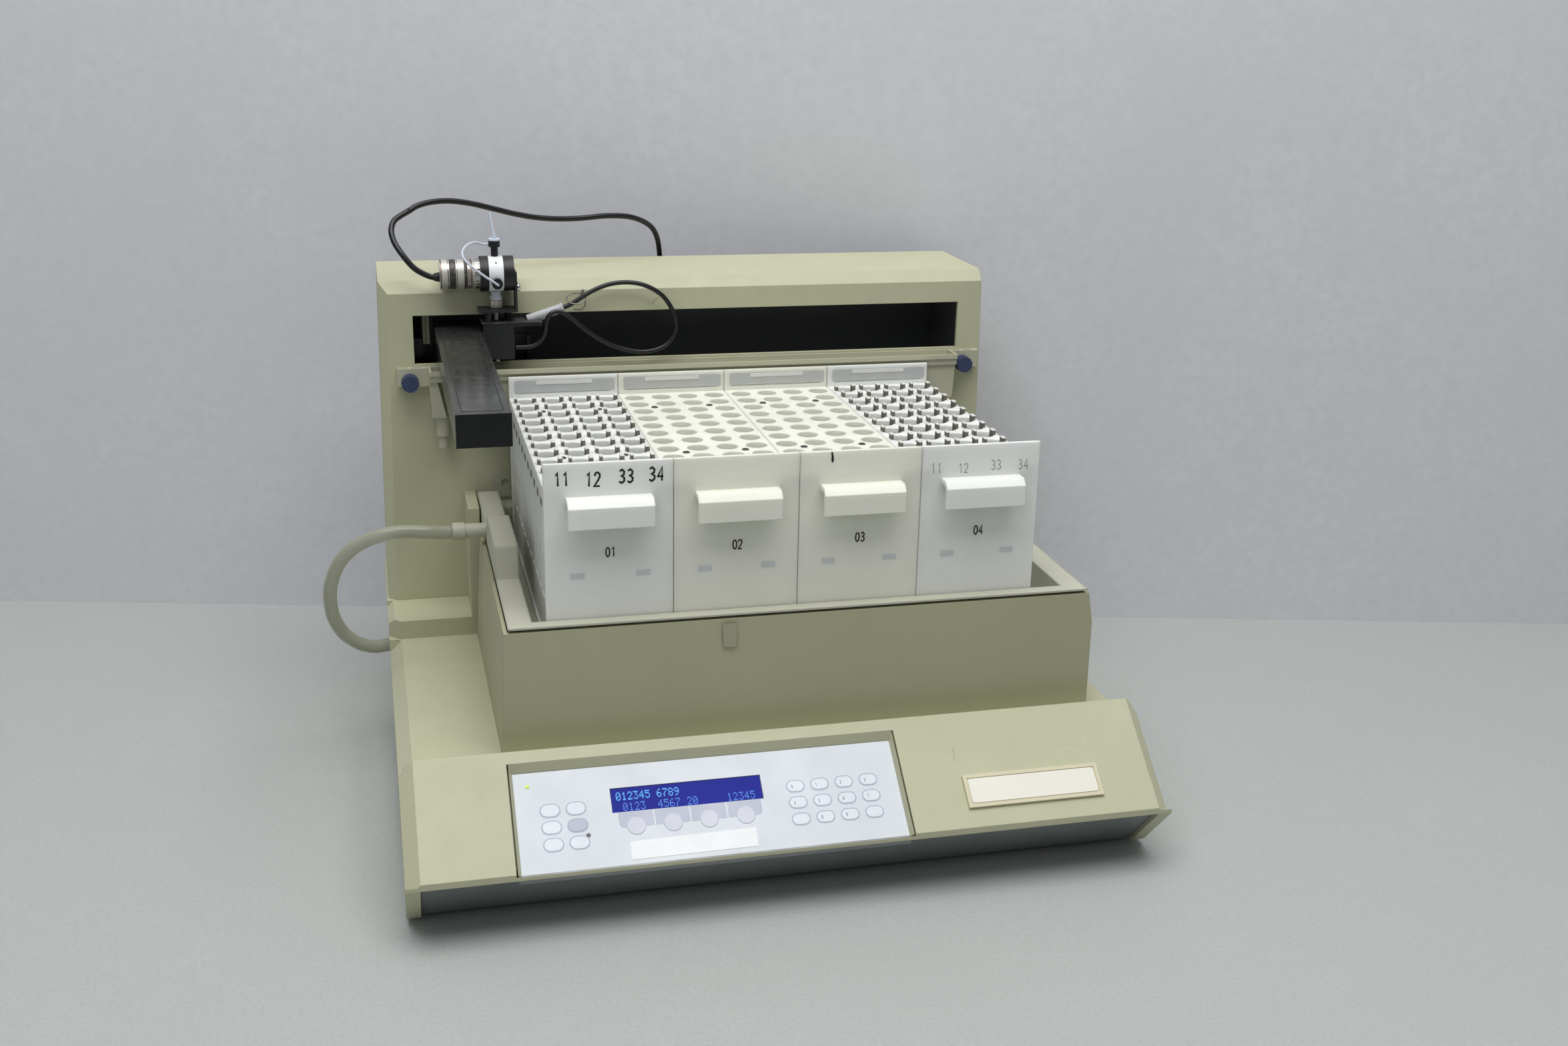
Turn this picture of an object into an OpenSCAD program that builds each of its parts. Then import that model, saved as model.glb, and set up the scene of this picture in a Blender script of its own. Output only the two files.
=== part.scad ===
// Bench-top fraction collector: a keypad base, a rear tower with a travelling arm and drop head,
// a drip tray and four lift-out tube racks.  Millimetres, +Z up, front faces -Y.
// The modules work in a device frame: x from the base's left side, y from its front lip,
// z from the underside of the housing.  device() shifts that frame to the middle of the feet.

/* [Racks] */
// Number of racks standing side by side
rack_count = 4; // [4:1:4]
// Tube columns in one rack
well_cols = 4; // [3:1:4]
// Tube rows in one rack
well_rows = 11; // [9:1:11]
// Spacing of the tube columns
well_pitch_x = 18.8; // [18:0.1:19.5]
// Spacing of the tube rows
well_pitch_y = 19; // [18:0.1:19.5]
// Diameter of a tube well
well_d = 13.5; // [12:0.5:14]
// Side margin outside the outer half pitches of a rack
rack_side = 0.2; // [0.1:0.1:1]
// Gap between two racks
rack_gap = 0.4; // [0.4:0.1:1.5]
// Thickness of a rack's end plates
rack_plate = 3; // [2:0.5:4]
// Free length between a rack's end plates beyond the rows
rack_end_room = 5.3; // [4:0.1:10]
// Thickness of a rack's floor
rack_floor = 3; // [2:0.5:5]
// Height of a rack's end plates
rack_h = 117; // [112:1:125]
// Depth of the grid below the top of the end plates
grid_drop = 14.5; // [12:0.5:16]
// Thickness of the grid plate
grid_t = 8.5; // [6:0.5:10]
// Depth of the bars between the rows
row_bar_h = 6; // [4:1:8]
// Depth of the bars between the columns
col_bar_h = 12; // [8:1:16]
// Height of the wide scallops on a rack's sides
scallop_h = 27; // [20:1:32]
// Depth of the lower guide bars
guide_h = 4; // [3:1:8]
// Height of the lower guide above the rack's underside
guide_z = 46; // [35:1:55]
// Width of a rack's pull
pull_w = 50.4; // [36:0.2:56]
// Reach of a rack's pull in front of its plate
pull_reach = 12; // [10:0.5:14]
// Height of a rack's pull
pull_h = 16.6; // [12:0.2:24]
// Depth of a rack's pull below the top of the plate
pull_drop = 20; // [18:1:26]
// Wall of a rack's pull
pull_t = 3; // [2:0.5:4]

/* [Drip tray] */
// Width of the left flange
tray_flange_left = 14.6; // [12:0.2:18]
// Width of the right flange
tray_flange_right = 14.8; // [12:0.2:18]
// Width of the front flange
tray_flange_front = 7.7; // [6:0.1:10]
// Wall of the tray
tray_wall = 1.2; // [1:0.1:2]
// Gap from the tray's left wall to the first rack
tray_gap_left = 8.6; // [4:0.2:12]
// Gap from the last rack to the tray's right wall
tray_gap_right = 19.8; // [6:0.2:24]
// Gap from the tray's front wall to the racks
tray_gap_front = 0.8; // [0.5:0.1:2]
// Gap from the racks to the tray's rear wall
tray_gap_rear = 2.5; // [1:0.1:4]
// Height of the tray's flange above its floor
tray_depth = 22.3; // [18:0.1:26]
// Height of the raised rim on the left flange
riser_h = 20; // [14:1:24]
// Height of the tray's floor above the deck
tray_rise = 62.7; // [55:0.1:70]

/* [Tub] */
// Shelf beside the tub on the left
shelf_left = 60.5; // [56:0.5:80]
// Shelf beside the tub on the right
shelf_right = 27.5; // [22:0.5:50]
// Distance of the tub's front wall behind the lip
tub_y = 75; // [70:0.5:90]
// Wall of the tub
tub_wall = 3; // [2.5:0.5:4]
// Lean of the tub's walls, foot to rim
tub_lean = 3.3; // [1:0.1:4]
// Gap between the tub's rim and the tray's flange
tub_rim_gap = 1.8; // [0.3:0.1:3]

/* [Base] */
// Height of the front lip above the underside
lip_h = 39.1; // [34:0.1:44]
// Thickness of the lip's front edge
lip_t = 4; // [3:0.5:6]
// Set-back of the cheeks' feet behind the lip
cheek_foot = 32; // [26:1:40]
// Distance of the ridge behind the lip
ridge_y = 58.1; // [54:0.1:62]
// Height of the ridge
ridge_h = 87; // [84:0.5:92]
// Height of the deck behind the ridge
deck_front_h = 75.4; // [73:0.1:78]
// Height of the deck at the plinth
deck_rear_h = 71; // [69:0.1:73]
// Height of the plinth's shelf
shelf_h = 84.2; // [80:0.1:90]
// Depth of the plinth's shelf in front of the tower
shelf_d = 42.6; // [36:0.2:48]
// Wall of the base cover
cover_wall = 3; // [2.5:0.5:4]
// Chamfer along the base's side edges
edge_chamfer = 8.4; // [5:0.2:9]
// Height of the rubber feet
foot_h = 4; // [3:0.5:8]
// Radius of the rubber feet
foot_r = 9; // [7:0.5:12]
// Sheet thickness of the chassis
sheet_t = 1.5; // [1:0.1:2]

/* [Keypad] */
// Distance of the keypad's recess from the left side
pad_x = 61; // [50:0.5:70]
// Width of the keypad's recess
pad_w = 234; // [228:1:245]
// Length of the keypad's recess up the slope
pad_len = 67.4; // [66:0.1:70]
// Depth of the keypad's recess
pad_depth = 6; // [3:0.5:8]
// Thickness of the membrane sheet
overlay_t = 1.2; // [0.8:0.1:1.6]
// Width of the display window
lcd_w = 90; // [80:1:96]
// Height of the display window
lcd_h = 15.3; // [12:0.1:16]
// Width of the name plate
plate_w = 87; // [70:1:100]
// Height of the name plate
plate_h = 21; // [16:0.5:26]
// Thickness of the name plate
plate_t = 2; // [1:0.1:3]

/* [Tower] */
// Depth of the tower
tower_d = 91.1; // [90:0.1:100]
// Side step between the base and the tower's top on the left
tower_left = 5.6; // [5:0.1:8]
// Side step between the base and the tower's top on the right
tower_right = 19.6; // [16:0.2:21]
// Lean of the tower's sides, foot to top
tower_lean = 4.4; // [2:0.1:4.8]
// Wall of the tower cover
tower_wall = 3; // [2.5:0.5:4]
// Height of the tower above the arm's slot
tower_cap = 23.4; // [20:0.2:30]
// Height of the front bevel on the tower's top edge
bevel_h = 8.1; // [4:0.1:10]
// Depth of the front bevel on the tower's top edge
bevel_d = 6.3; // [4:0.1:8]
// Distance of the slot's left end from the base's left side
slot_left = 27.6; // [24:0.2:30]
// Distance of the slot's right end from the base's right side
slot_right = 36.9; // [32:0.1:40]
// Room below the arm in the slot
slot_below = 5.1; // [2:0.1:6]
// Room above the arm in the slot
slot_above = 9.2; // [6:0.1:12]

/* [Arm] */
// Room between the racks' end plates and the arm
arm_clear = 11.4; // [10:0.1:16]
// Height of the arm
arm_h = 19.6; // [18:0.1:24]
// Width of the arm
arm_w = 31.5; // [31:0.1:34]
// Distance of the arm's left side from the base's left side at home
arm_x = 42; // [40:0.5:44]
// Distance of the arm's front end behind the lip
arm_y = 88; // [84:0.5:90]
// Wall of the arm
arm_wall = 2; // [1.5:0.1:2.4]
// Radius of the arm's guide rod
guide_r = 3; // [2.5:0.1:3.2]
// Radius of the tower's guide rods
rail_r = 4; // [3.5:0.1:5]
// Radial clearance of the sliding bores
slide_fit = 0.06; // [0.04:0.01:0.09]
// Radius of the long belt's pulleys
x_pulley_r = 6; // [5:0.1:6.4]
// Radius of the arm belt's pulleys
y_pulley_r = 4.2; // [3.6:0.1:4.3]
// Thickness of the toothed belts
belt_t = 1.2; // [1:0.1:1.4]
// Width of the toothed belts
belt_w = 5; // [4:0.5:6]

/* [Drop head] */
// Radius of the switching valve
valve_r = 12; // [10.5:0.1:12]
// Radius of the valve's coil
coil_r = 10; // [8:0.1:10]
// Length of the valve's coil
coil_len = 26.8; // [20:0.2:30]
// Height of the valve's axis above the arm's top
valve_up = 38.7; // [38.4:0.1:42]
// Radius of the drop nozzle
nozzle_r = 1.25; // [0.8:0.05:1.3]
// Radius of the drop nozzle's bore
nozzle_bore = 0.6; // [0.4:0.05:0.7]
// Radius of the valve's cable
valve_cable_r = 2; // [1.5:0.1:2.2]
// Radius of the drop sensor's cable
sensor_cable_r = 1.6; // [1.2:0.1:1.8]
// Radius of the thin by-pass tube
bypass_r = 0.8; // [0.6:0.1:0.9]

/* [Trough] */
// Room between the racks and the trough's front lip
trough_gap = 1; // [0.6:0.1:1.6]
// Depth of the trough, lip to tower
trough_d = 19.1; // [18.6:0.1:22]
// Height of the trough's body
trough_h = 33.3; // [30:0.1:40]
// Height of the trough's lip band
trough_band = 3.2; // [2:0.1:4]
// Wall of the trough
trough_wall = 1.8; // [1.5:0.1:2.4]
// Room between the trough's lip and the arm
trough_clear = 6.6; // [5.6:0.1:7.2]
// Radius of the thumb screws
knob_r = 5.9; // [5:0.1:6.2]
// Length of the thumb screws' heads
knob_len = 8; // [6:0.2:10]

/* [Drain] */
// Radius of the drain hose
hose_r = 4.6; // [4:0.1:5]
// Radius of the drain fitting's collar
collar_r = 6; // [5.4:0.1:6.4]
// Distance of the drain fitting in front of the plinth's face
drain_back = 44.3; // [40:0.1:46]

/* [Hidden] */
$fn = 48;

// Small clearances and overshoots shared by many pieces
gap = 0.3;
cut = 1;
spin_fit = 0.05;
bar_joint = 0.1;
side_web = 1;
wide_scallop_r = well_pitch_y / 2 - 0.2;
slim_scallop_r = well_pitch_y / 2 - 1;

// Rack sizes
rack_w = well_cols * well_pitch_x + 2 * rack_side;
rack_d = well_rows * well_pitch_y + rack_end_room + 2 * rack_plate;
rack_step = rack_w + rack_gap;
racks_w = rack_count * rack_step - rack_gap;

// Positions along x
tray_x = shelf_left + tub_lean + 2.6;
tray_in_x = tray_x + tray_flange_left;
rack_x = tray_in_x + tray_gap_left;
tray_in_x2 = rack_x + racks_w + tray_gap_right;
tray_x2 = tray_in_x2 + tray_flange_right;
tub_x = shelf_left;
tub_x2 = tray_x2 + tub_lean + 1.4;
base_w = tub_x2 + shelf_right;
tower_x = tower_left;
tower_x2 = base_w - tower_right;
slot_x = slot_left;
slot_x2 = base_w - slot_right;

// Positions along y
tray_y = tub_y + tub_wall / 2;
tray_in_y = tray_y + tray_flange_front + tray_wall;
rack_y = tray_in_y + tray_gap_front;
rack_y2 = rack_y + rack_d;
tray_in_y2 = rack_y2 + tray_gap_rear;
trough_y = rack_y2 + trough_gap;
tower_y = trough_y + trough_d + gap;
base_d = tower_y + tower_d;
plinth_y = tower_y - shelf_d;

// Positions along z
tray_floor_h = deck_rear_h + tray_rise;
tray_z = tray_floor_h + tray_depth;
rack_z = tray_floor_h + gap;
grid_z = rack_z + rack_h - grid_drop;
rack_top = rack_z + rack_h;
arm_z = rack_top + arm_clear;
arm_z2 = arm_z + arm_h;
slot_z = arm_z - slot_below;
slot_z2 = arm_z2 + slot_above;
tower_top = slot_z2 + tower_cap;
tub_z = tray_z - tub_rim_gap - tray_wall;
trough_top = arm_z - trough_clear;

// Slope of the keypad panel
slope_len = norm([ridge_y, ridge_h - lip_h]);
slope_deg = atan2(ridge_h - lip_h, ridge_y);
deck_y = ridge_y + 4.9;
deck_fall = atan2(deck_front_h - deck_rear_h, plinth_y - deck_y);

// Tube wells of one rack, from its left front corner
well_x0 = rack_side + well_pitch_x / 2;
well_y0 = rack_plate + (rack_end_room + well_pitch_y) / 2;

// Tower machinery
frame_t = 2;
frame_x = tower_x + tower_wall + 1.3;
frame_x2 = tower_x2 - tower_wall - 4;
rail_y = tower_y + 45;
rail_low = arm_z - 22.4;
rail_high = arm_z + 41.6;
carriage_y = tower_y + 29.1;
carriage_d = 30;
belt_x_y = carriage_y + carriage_d + x_pulley_r + belt_t + 3.6;
belt_x_z = arm_z - 36;
drive_x = frame_x + frame_t + 16;
idler_x = frame_x2 - 13;
x_motor_w = 27;
x_motor_h = 36;
x_motor_top = belt_x_z - 14;
x_pulley_h = belt_w + 3;

// Arm machinery
arm_x2 = arm_x + arm_w;
arm_len = carriage_y - arm_y;
cap_t = 3;
lid_ledge = 1;
lid_inset = 4;
belt_y_x = arm_x + 9;
belt_y_z = arm_z + 8;
y_pulley_h = belt_w + 1.6;
y_drive_y = carriage_y - 11;
y_idler_y = arm_y + 13;
rod_x = arm_x + 23;
rod_z = arm_z + arm_h / 2 - 0.2;
y_motor_r = 9.5;
y_motor_h = 26;
arm_slit_h = 8;

// Drop head, parked over the trough
needle_x = arm_x2 + 10.5;
needle_y = tower_y - 7.4;
nozzle_z = arm_z - 2.9;
head_x = arm_x2 + 0.5;
head_w = 21;
head_y = rack_y2 + 2;
head_d = 17.5;
head_z = arm_z + 0.6;
head_h = 22.5;
flange_t = 2.5;
flange_w = 30.5;
stage_z = arm_z2 + 13.5;
stage_t = 1.5;
valve_z = arm_z2 + valve_up;
valve_x = head_x - 0.5;
valve_front_w = 5.8;
valve_mid_w = 9.8;
valve_back_w = 7.2;
neck_r = 2.45;
top_r = 3.95;
nut_r = 2.9;
outlet_r = 3.1;

// Trough ends
trough_x = slot_x + 8.7;
trough_x2 = base_w - 42;
ear_w = 21;
ear_t = 6;
ear_h = 12.8;
knob_drop = 9.2;
knob_x = trough_x - 12.7;
knob_x2 = trough_x2 + 8;
knob_z = trough_top - knob_drop;
knob_shaft_r = 2;
knob_room = 0.3;
spout_x = trough_x + 8.4;

// Drain line
drain_y = plinth_y - drain_back;
drain_z = tray_z + collar_r + 0.9;
drain_x = tub_x - 16.1;
side_wall = 1.8;
hose_wall_x = edge_chamfer - 2.4;
hose_in_x = hose_wall_x + 2.4;
hose_in_y = plinth_y + 14.7;
hose_in_z = 62;

// Rear panel
inlet_x = base_w - 70;
inlet_z = 36;
inlet_w = 47;
inlet_h = 27;
switch_x = inlet_x - 52;
switch_w = 20;
switch_h = 28;
switch_tilt = 8;
gland_x = 217;
gland_z = tower_top - 18.6;
gland_r = 4;

// Routes of the free cords, ends first and last
hose_route = [
    [44.4, 240, 162.9], [37, 240, 162.9], [28, 240, 163.8], [11, 241, 164.5], [-6, 243, 161],
    [-20, 247, 153], [-30, 252, 141], [-36, 258, 125], [-37.5, 264, 111], [-36, 270, 96],
    [-30, 277, 81], [-20, 284, 70], [-11, 290.5, 64.5], [-4, 296, 62.5], [1, 299, 62],
    [4.8, 299, 62]
];
valve_head_route = [
    [46.7, 319.5, 319], [42, 319.5, 319], [36, 319, 321.5], [29.5, 319, 326], [23, 321, 334],
    [18, 326, 342], [16.5, 331, 349], [18.5, 336, 354.5], [23, 339.4, 357.6], [29, 343, 360.5]
];
valve_rear_route = [
    [29, 343, 360.5], [35, 346.6, 363.4], [44, 351, 365.2], [57, 357, 365.2],
    [72, 363, 362.5], [88, 368, 358],
    [103.5, 373, 353.5], [119.5, 378, 350], [136, 383, 348.2], [153, 388, 347.8],
    [170, 393, 348.5], [187, 400, 347], [199, 407, 343], [208.5, 415, 336.5],
    [214, 422, 327], [216.5, 427, 315], [217, 428, 305], [217, 425, 298], [217, 418, 296]
];
sensor_route = [
    [95, 312, 270.5], [102, 312, 270.5], [107.4, 311.8, 271.2], [112.2, 311.4, 274],
    [115.3, 311.1, 278.4], [116.6, 311, 283.5], [117.3, 311, 288.4], [119.3, 311, 292.2],
    [122.8, 311.1, 294.5], [127, 311.3, 294.4], [131.8, 311.6, 291.8], [137.4, 312, 287.3],
    [145, 313, 280.6], [157.5, 314.5, 272], [170, 316, 266.5], [182, 317, 263.6],
    [192, 317.6, 263.8], [201, 318, 266.8], [207, 318.4, 273], [209.5, 318.8, 281.5],
    [207, 319, 292], [200, 319.4, 302.5], [189, 319.8, 309.5], [177, 320, 312.3],
    [164, 320.2, 311.6], [152, 320.2, 307.6], [142.5, 320.2, 302.2], [136, 320.2, 298.2],
    [129.9, 320.2, 295.6]
];
sleeve_start = [105.2, 320.2, 288];
sleeve_end = [129.5, 320.2, 295.5];
bypass_route = [
    [84.3, 301.1, 316.1], [84.3, 299, 316.1], [81.5, 297, 318.5], [75, 297, 323],
    [68, 298, 328.5], [63, 300, 333.2], [61.5, 303, 337.4], [64, 308, 341], [69, 314, 342.6],
    [73.5, 318.4, 341.8], [77, 319.5, 340.8], [80, 319.5, 340.8]
];

// ---------------------------------------------------------------- helpers

// Moves the device frame so that the origin is at the middle of the footprint, under the feet
module device() {
    translate([-base_w / 2, -base_d / 2, foot_h]) children();
}

// Box between two opposite corners
module block(low, high) {
    translate(low) cube(high - low);
}

// Round rods along the three axes, from a start point
module rod_x(start, r, len) {
    translate(start) rotate([0, 90, 0]) cylinder(r = r, h = len);
}

module rod_y(start, r, len) {
    translate(start) rotate([-90, 0, 0]) cylinder(r = r, h = len);
}

module rod_z(start, r, len) {
    translate(start) cylinder(r = r, h = len);
}

// A side view [y, z] pulled out along x
module along_x(x1, x2, points) {
    translate([x1, 0, 0]) rotate([90, 0, 90]) linear_extrude(x2 - x1) polygon(points);
}

// A front view [x, z] pulled out along y
module along_y(y1, y2, points) {
    translate([0, y2, 0]) rotate([90, 0, 0]) linear_extrude(y2 - y1) polygon(points);
}

// Square bar on its corner that cuts a 45 degree chamfer along a y edge
module chamfer_y(start, len, c) {
    translate(start) rotate([0, 45, 0]) translate([-c / sqrt(2), 0, -c / sqrt(2)])
        cube([c * sqrt(2), len, c * sqrt(2)]);
}

// The same along a vertical edge
module chamfer_z(start, len, c) {
    translate(start) rotate([0, 0, 45]) translate([-c / sqrt(2), -c / sqrt(2), 0])
        cube([c * sqrt(2), c * sqrt(2), len]);
}

// Frame on the sloping panel: x across, y up the slope from the lip, z out of it
module slope_frame() {
    translate([0, 0, lip_h]) rotate([slope_deg, 0, 0]) children();
}

// Round cord swept along a route of points
function unit(v) = v / norm(v);
function heading(p, i) = unit(p[min(i + 1, len(p) - 1)] - p[max(i - 1, 0)]);
function side_of(t) = unit(cross(abs(t[2]) > 0.9 ? [0, 1, 0] : [0, 0, 1], t));
function carry(s, t) = unit(s - (s * t) * t);
function sides_along(p, i = 0, s = undef) =
    i == len(p) ? [] :
    let (t = heading(p, i), now = s == undef ? side_of(t) : carry(s, t))
    concat([now], sides_along(p, i + 1, now));

module cord(route, r, sides) {
    across = sides_along(route);
    rings = len(route);
    points = [
        for (i = [0 : rings - 1], k = [0 : sides - 1])
            let (t = heading(route, i), u = across[i], v = cross(t, u), a = 360 * k / sides)
            route[i] + r * (cos(a) * u + sin(a) * v)
    ];
    walls = [
        for (i = [0 : rings - 2], k = [0 : sides - 1])
            let (n = (k + 1) % sides)
            [i * sides + k, (i + 1) * sides + k, (i + 1) * sides + n, i * sides + n]
    ];
    first = [for (k = [0 : sides - 1]) k];
    last = [for (k = [sides - 1 : -1 : 0]) (rings - 1) * sides + k];
    polyhedron(points, concat([first], walls, [last]));
}

// ---------------------------------------------------------------- base

base_outline = [
    [0, lip_h], [ridge_y, ridge_h], [deck_y, deck_front_h], [plinth_y, deck_rear_h],
    [plinth_y, shelf_h], [base_d, shelf_h], [base_d, 0], [cheek_foot, 0], [0, lip_h - lip_t]
];

base_hollow = [
    [cover_wall, lip_h - 1.9], [ridge_y - 1.5, ridge_h - 1.3 * cover_wall - 1.3],
    [ridge_y + 1.5, deck_front_h - cover_wall], [plinth_y + cover_wall, deck_rear_h - cover_wall],
    [plinth_y + cover_wall, shelf_h - cover_wall], [base_d + cut, shelf_h - cover_wall],
    [base_d + cut, -cut], [cheek_foot + 6, -cut], [cover_wall + 1, lip_h - lip_t]
];

// Opening under the lip, between the two cheeks
cheek_gap = [
    [-cut, -cut], [-cut, lip_h - lip_t], [cover_wall + 2, lip_h - lip_t], [cheek_foot + 8, -cut]
];

// Solid pocket that the keypad's recess leaves in the shell
module pad_pocket() {
    slope_frame() block(
        [pad_x - cover_wall, cover_wall + 2, -pad_depth - cover_wall],
        [pad_x + pad_w + cover_wall, pad_len + 2, -cover_wall / 2]);
}

// Chamfers of size c along the base's edges at one side
module side_chamfers(x, c) {
    slope_frame() chamfer_y([x, -cut, 0], slope_len + cut, c);
    translate([0, ridge_y, deck_front_h]) rotate([-deck_fall, 0, 0])
        chamfer_y([x, 0, 0], plinth_y - ridge_y, c);
    chamfer_z([x, plinth_y, deck_rear_h - gap], shelf_h - deck_rear_h + cut, c);
    chamfer_y([x, plinth_y, shelf_h], tower_y - plinth_y, c / 2);
}

boss_r = 4;
boss_in = 24;
boss_spots = [
    [boss_in, ridge_y + boss_in], [base_w - boss_in, ridge_y + boss_in],
    [boss_in, plinth_y - boss_in], [base_w - boss_in, plinth_y - boss_in]
];
screw_r = 1.5;

module base_cover() {
    color([0.76, 0.75, 0.63]) device() {
        difference() {
            along_x(0, base_w, base_outline);
            difference() {
                along_x(cover_wall, base_w - cover_wall, base_hollow);
                pad_pocket();
                for (x = [0, base_w])
                    side_chamfers(x, edge_chamfer + 1.3 * cover_wall);
                for (spot = boss_spots)
                    rod_z([spot[0], spot[1], sheet_t], boss_r, deck_front_h);
                // soffit and side walls where the plinth overhangs
                stand_back(plinth_y - cover_wall, hose_wall_x + side_wall, deck_rear_h + cut);
            }
            for (spot = boss_spots)
                rod_z([spot[0], spot[1], 0], screw_r + 0.2, 14);
            along_x(edge_chamfer, base_w - edge_chamfer, cheek_gap);
            for (x = [0, base_w])
                side_chamfers(x, edge_chamfer);
            slope_frame() block(
                [pad_x, -cut, -pad_depth], [pad_x + pad_w, pad_len, cut * 4]);
            stand_back(plinth_y, hose_wall_x, deck_rear_h - cut);
            rod_x([-cut, hose_in_y, hose_in_z], hose_r + 2.2, hose_wall_x + side_wall + 2 * cut);
        }
    }
}

// Space beside the rear half of the base, under the plinth's overhang, on both sides
module stand_back(y, depth, height) {
    block([-cut, y, -2 * cut], [depth, base_d + 2 * cut, height]);
    block([base_w - depth, y, -2 * cut], [base_w + cut, base_d + 2 * cut, height]);
}

module chassis_pan() {
    inner = cover_wall + gap;
    step_y = plinth_y - cover_wall - gap;
    color([0.42, 0.44, 0.45]) device() difference() {
        union() {
            block([inner, cheek_foot + 6.5, 0], [base_w - inner, step_y, sheet_t]);
            block([edge_chamfer + gap, cheek_foot + 3.4, 0],
                  [base_w - edge_chamfer - gap, cheek_foot + 7.5, sheet_t]);
            block([edge_chamfer, step_y - cut, 0],
                  [base_w - edge_chamfer, base_d - gap, sheet_t]);
            along_x(edge_chamfer + gap, base_w - edge_chamfer - gap, [
                [4, lip_h - lip_t - gap], [5.8, lip_h - lip_t - gap],
                [cheek_foot + 5, sheet_t], [cheek_foot + 5, 0], [cheek_foot + 3.4, 0]
            ]);
            block([edge_chamfer, base_d - sheet_t - gap, sheet_t],
                  [base_w - edge_chamfer, base_d - gap, shelf_h - cover_wall - gap]);
        }
        for (spot = boss_spots)
            rod_z([spot[0], spot[1], -cut], screw_r + 0.3, sheet_t + 2 * cut);
        rear_cuts();
    }
}

// Holes in the rear panel for the inlet and the switch
module rear_cuts() {
    block([inlet_x - inlet_w / 2 + 6, base_d - 8, inlet_z - inlet_h / 2 + 2],
          [inlet_x + inlet_w / 2 - 6, base_d + cut, inlet_z + inlet_h / 2 - 2]);
    block([switch_x - switch_w / 2, base_d - 8, inlet_z - switch_h / 2],
          [switch_x + switch_w / 2, base_d + cut, inlet_z + switch_h / 2]);
}

foot_spots = [
    [40, cheek_foot + 24], [base_w - 40, cheek_foot + 24],
    [40, base_d - 30], [base_w - 40, base_d - 30]
];

module rubber_feet() {
    color([0.12, 0.12, 0.12]) device()
        for (spot = foot_spots)
            rod_z([spot[0], spot[1], -foot_h], foot_r, foot_h);
}

module housing_screws() {
    head_h_s = 1.6;
    color([0.6, 0.6, 0.62]) device() {
        for (spot = boss_spots) {
            rod_z([spot[0], spot[1], -head_h_s], 2 * screw_r, head_h_s);
            rod_z([spot[0], spot[1], -head_h_s / 2], screw_r, 12);
        }
    }
}

supply_w = 95;
supply_d = 130;
supply_h = 42;
supply_x = base_w - 1.6 * supply_w;
supply_y = plinth_y - 0.65 * supply_d;

module power_supply() {
    color([0.6, 0.62, 0.64]) device()
        block([supply_x, supply_y, sheet_t],
              [supply_x + supply_w, supply_y + supply_d, sheet_t + supply_h]);
}

board_x = 70;
board_y = 130;
board_w = 200;
board_d = 160;
board_t = 1.6;
standoff_h = 6;
standoff_in = 10;
chip_w = 24;
chip_d = 14;

module main_board() {
    top = sheet_t + standoff_h + board_t;
    spots = [
        for (x = [board_x + standoff_in, board_x + board_w - standoff_in],
             y = [board_y + standoff_in, board_y + board_d - standoff_in])
            [x, y, sheet_t]
    ];
    color([0.1, 0.35, 0.2]) device() {
        difference() {
            block([board_x, board_y, sheet_t + standoff_h],
                  [board_x + board_w, board_y + board_d, top]);
            for (spot = spots)
                rod_z(spot, screw_r, 2 * standoff_h);
        }
        for (spot = spots)
            difference() {
                rod_z(spot, 2 * screw_r, standoff_h);
                rod_z(spot, screw_r, standoff_h + cut);
            }
        for (i = [0 : 3])
            translate([board_x + (1.25 + 1.6 * i) * chip_w, board_y + board_d / 3, top])
                cube([chip_w, chip_d, 4]);
    }
}

module keypad_overlay() {
    room = 1.2;
    color([0.84, 0.86, 0.87]) device() slope_frame() difference() {
        block([pad_x + room, 1.2, -pad_depth],
              [pad_x + pad_w - room, pad_len - room, -pad_depth + overlay_t]);
        block([lcd_x, lcd_s, -pad_depth - cut], [lcd_x + lcd_w, lcd_s + lcd_h, cut]);
    }
}

lcd_x = pad_x + 58.1;
lcd_s = 33.4;

module display_module() {
    color([0.16, 0.2, 0.55]) device() slope_frame()
        block([lcd_x + gap, lcd_s + gap, -pad_depth],
              [lcd_x + lcd_w - gap, lcd_s + lcd_h - gap, -pad_depth + overlay_t - 0.5]);
}

module name_plate() {
    x = base_w - 129;
    s = 12;
    rim = 2.2;
    color([0.8, 0.78, 0.66]) device() slope_frame() difference() {
        block([x, s, 0], [x + plate_w, s + plate_h, plate_t]);
        block([x + rim, s + rim, plate_t - 0.6],
              [x + plate_w - rim, s + plate_h - rim, plate_t + cut]);
    }
}

// ---------------------------------------------------------------- tub and tray

function deck_at(y) = deck_front_h - (y - deck_y) * tan(deck_fall);

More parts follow.
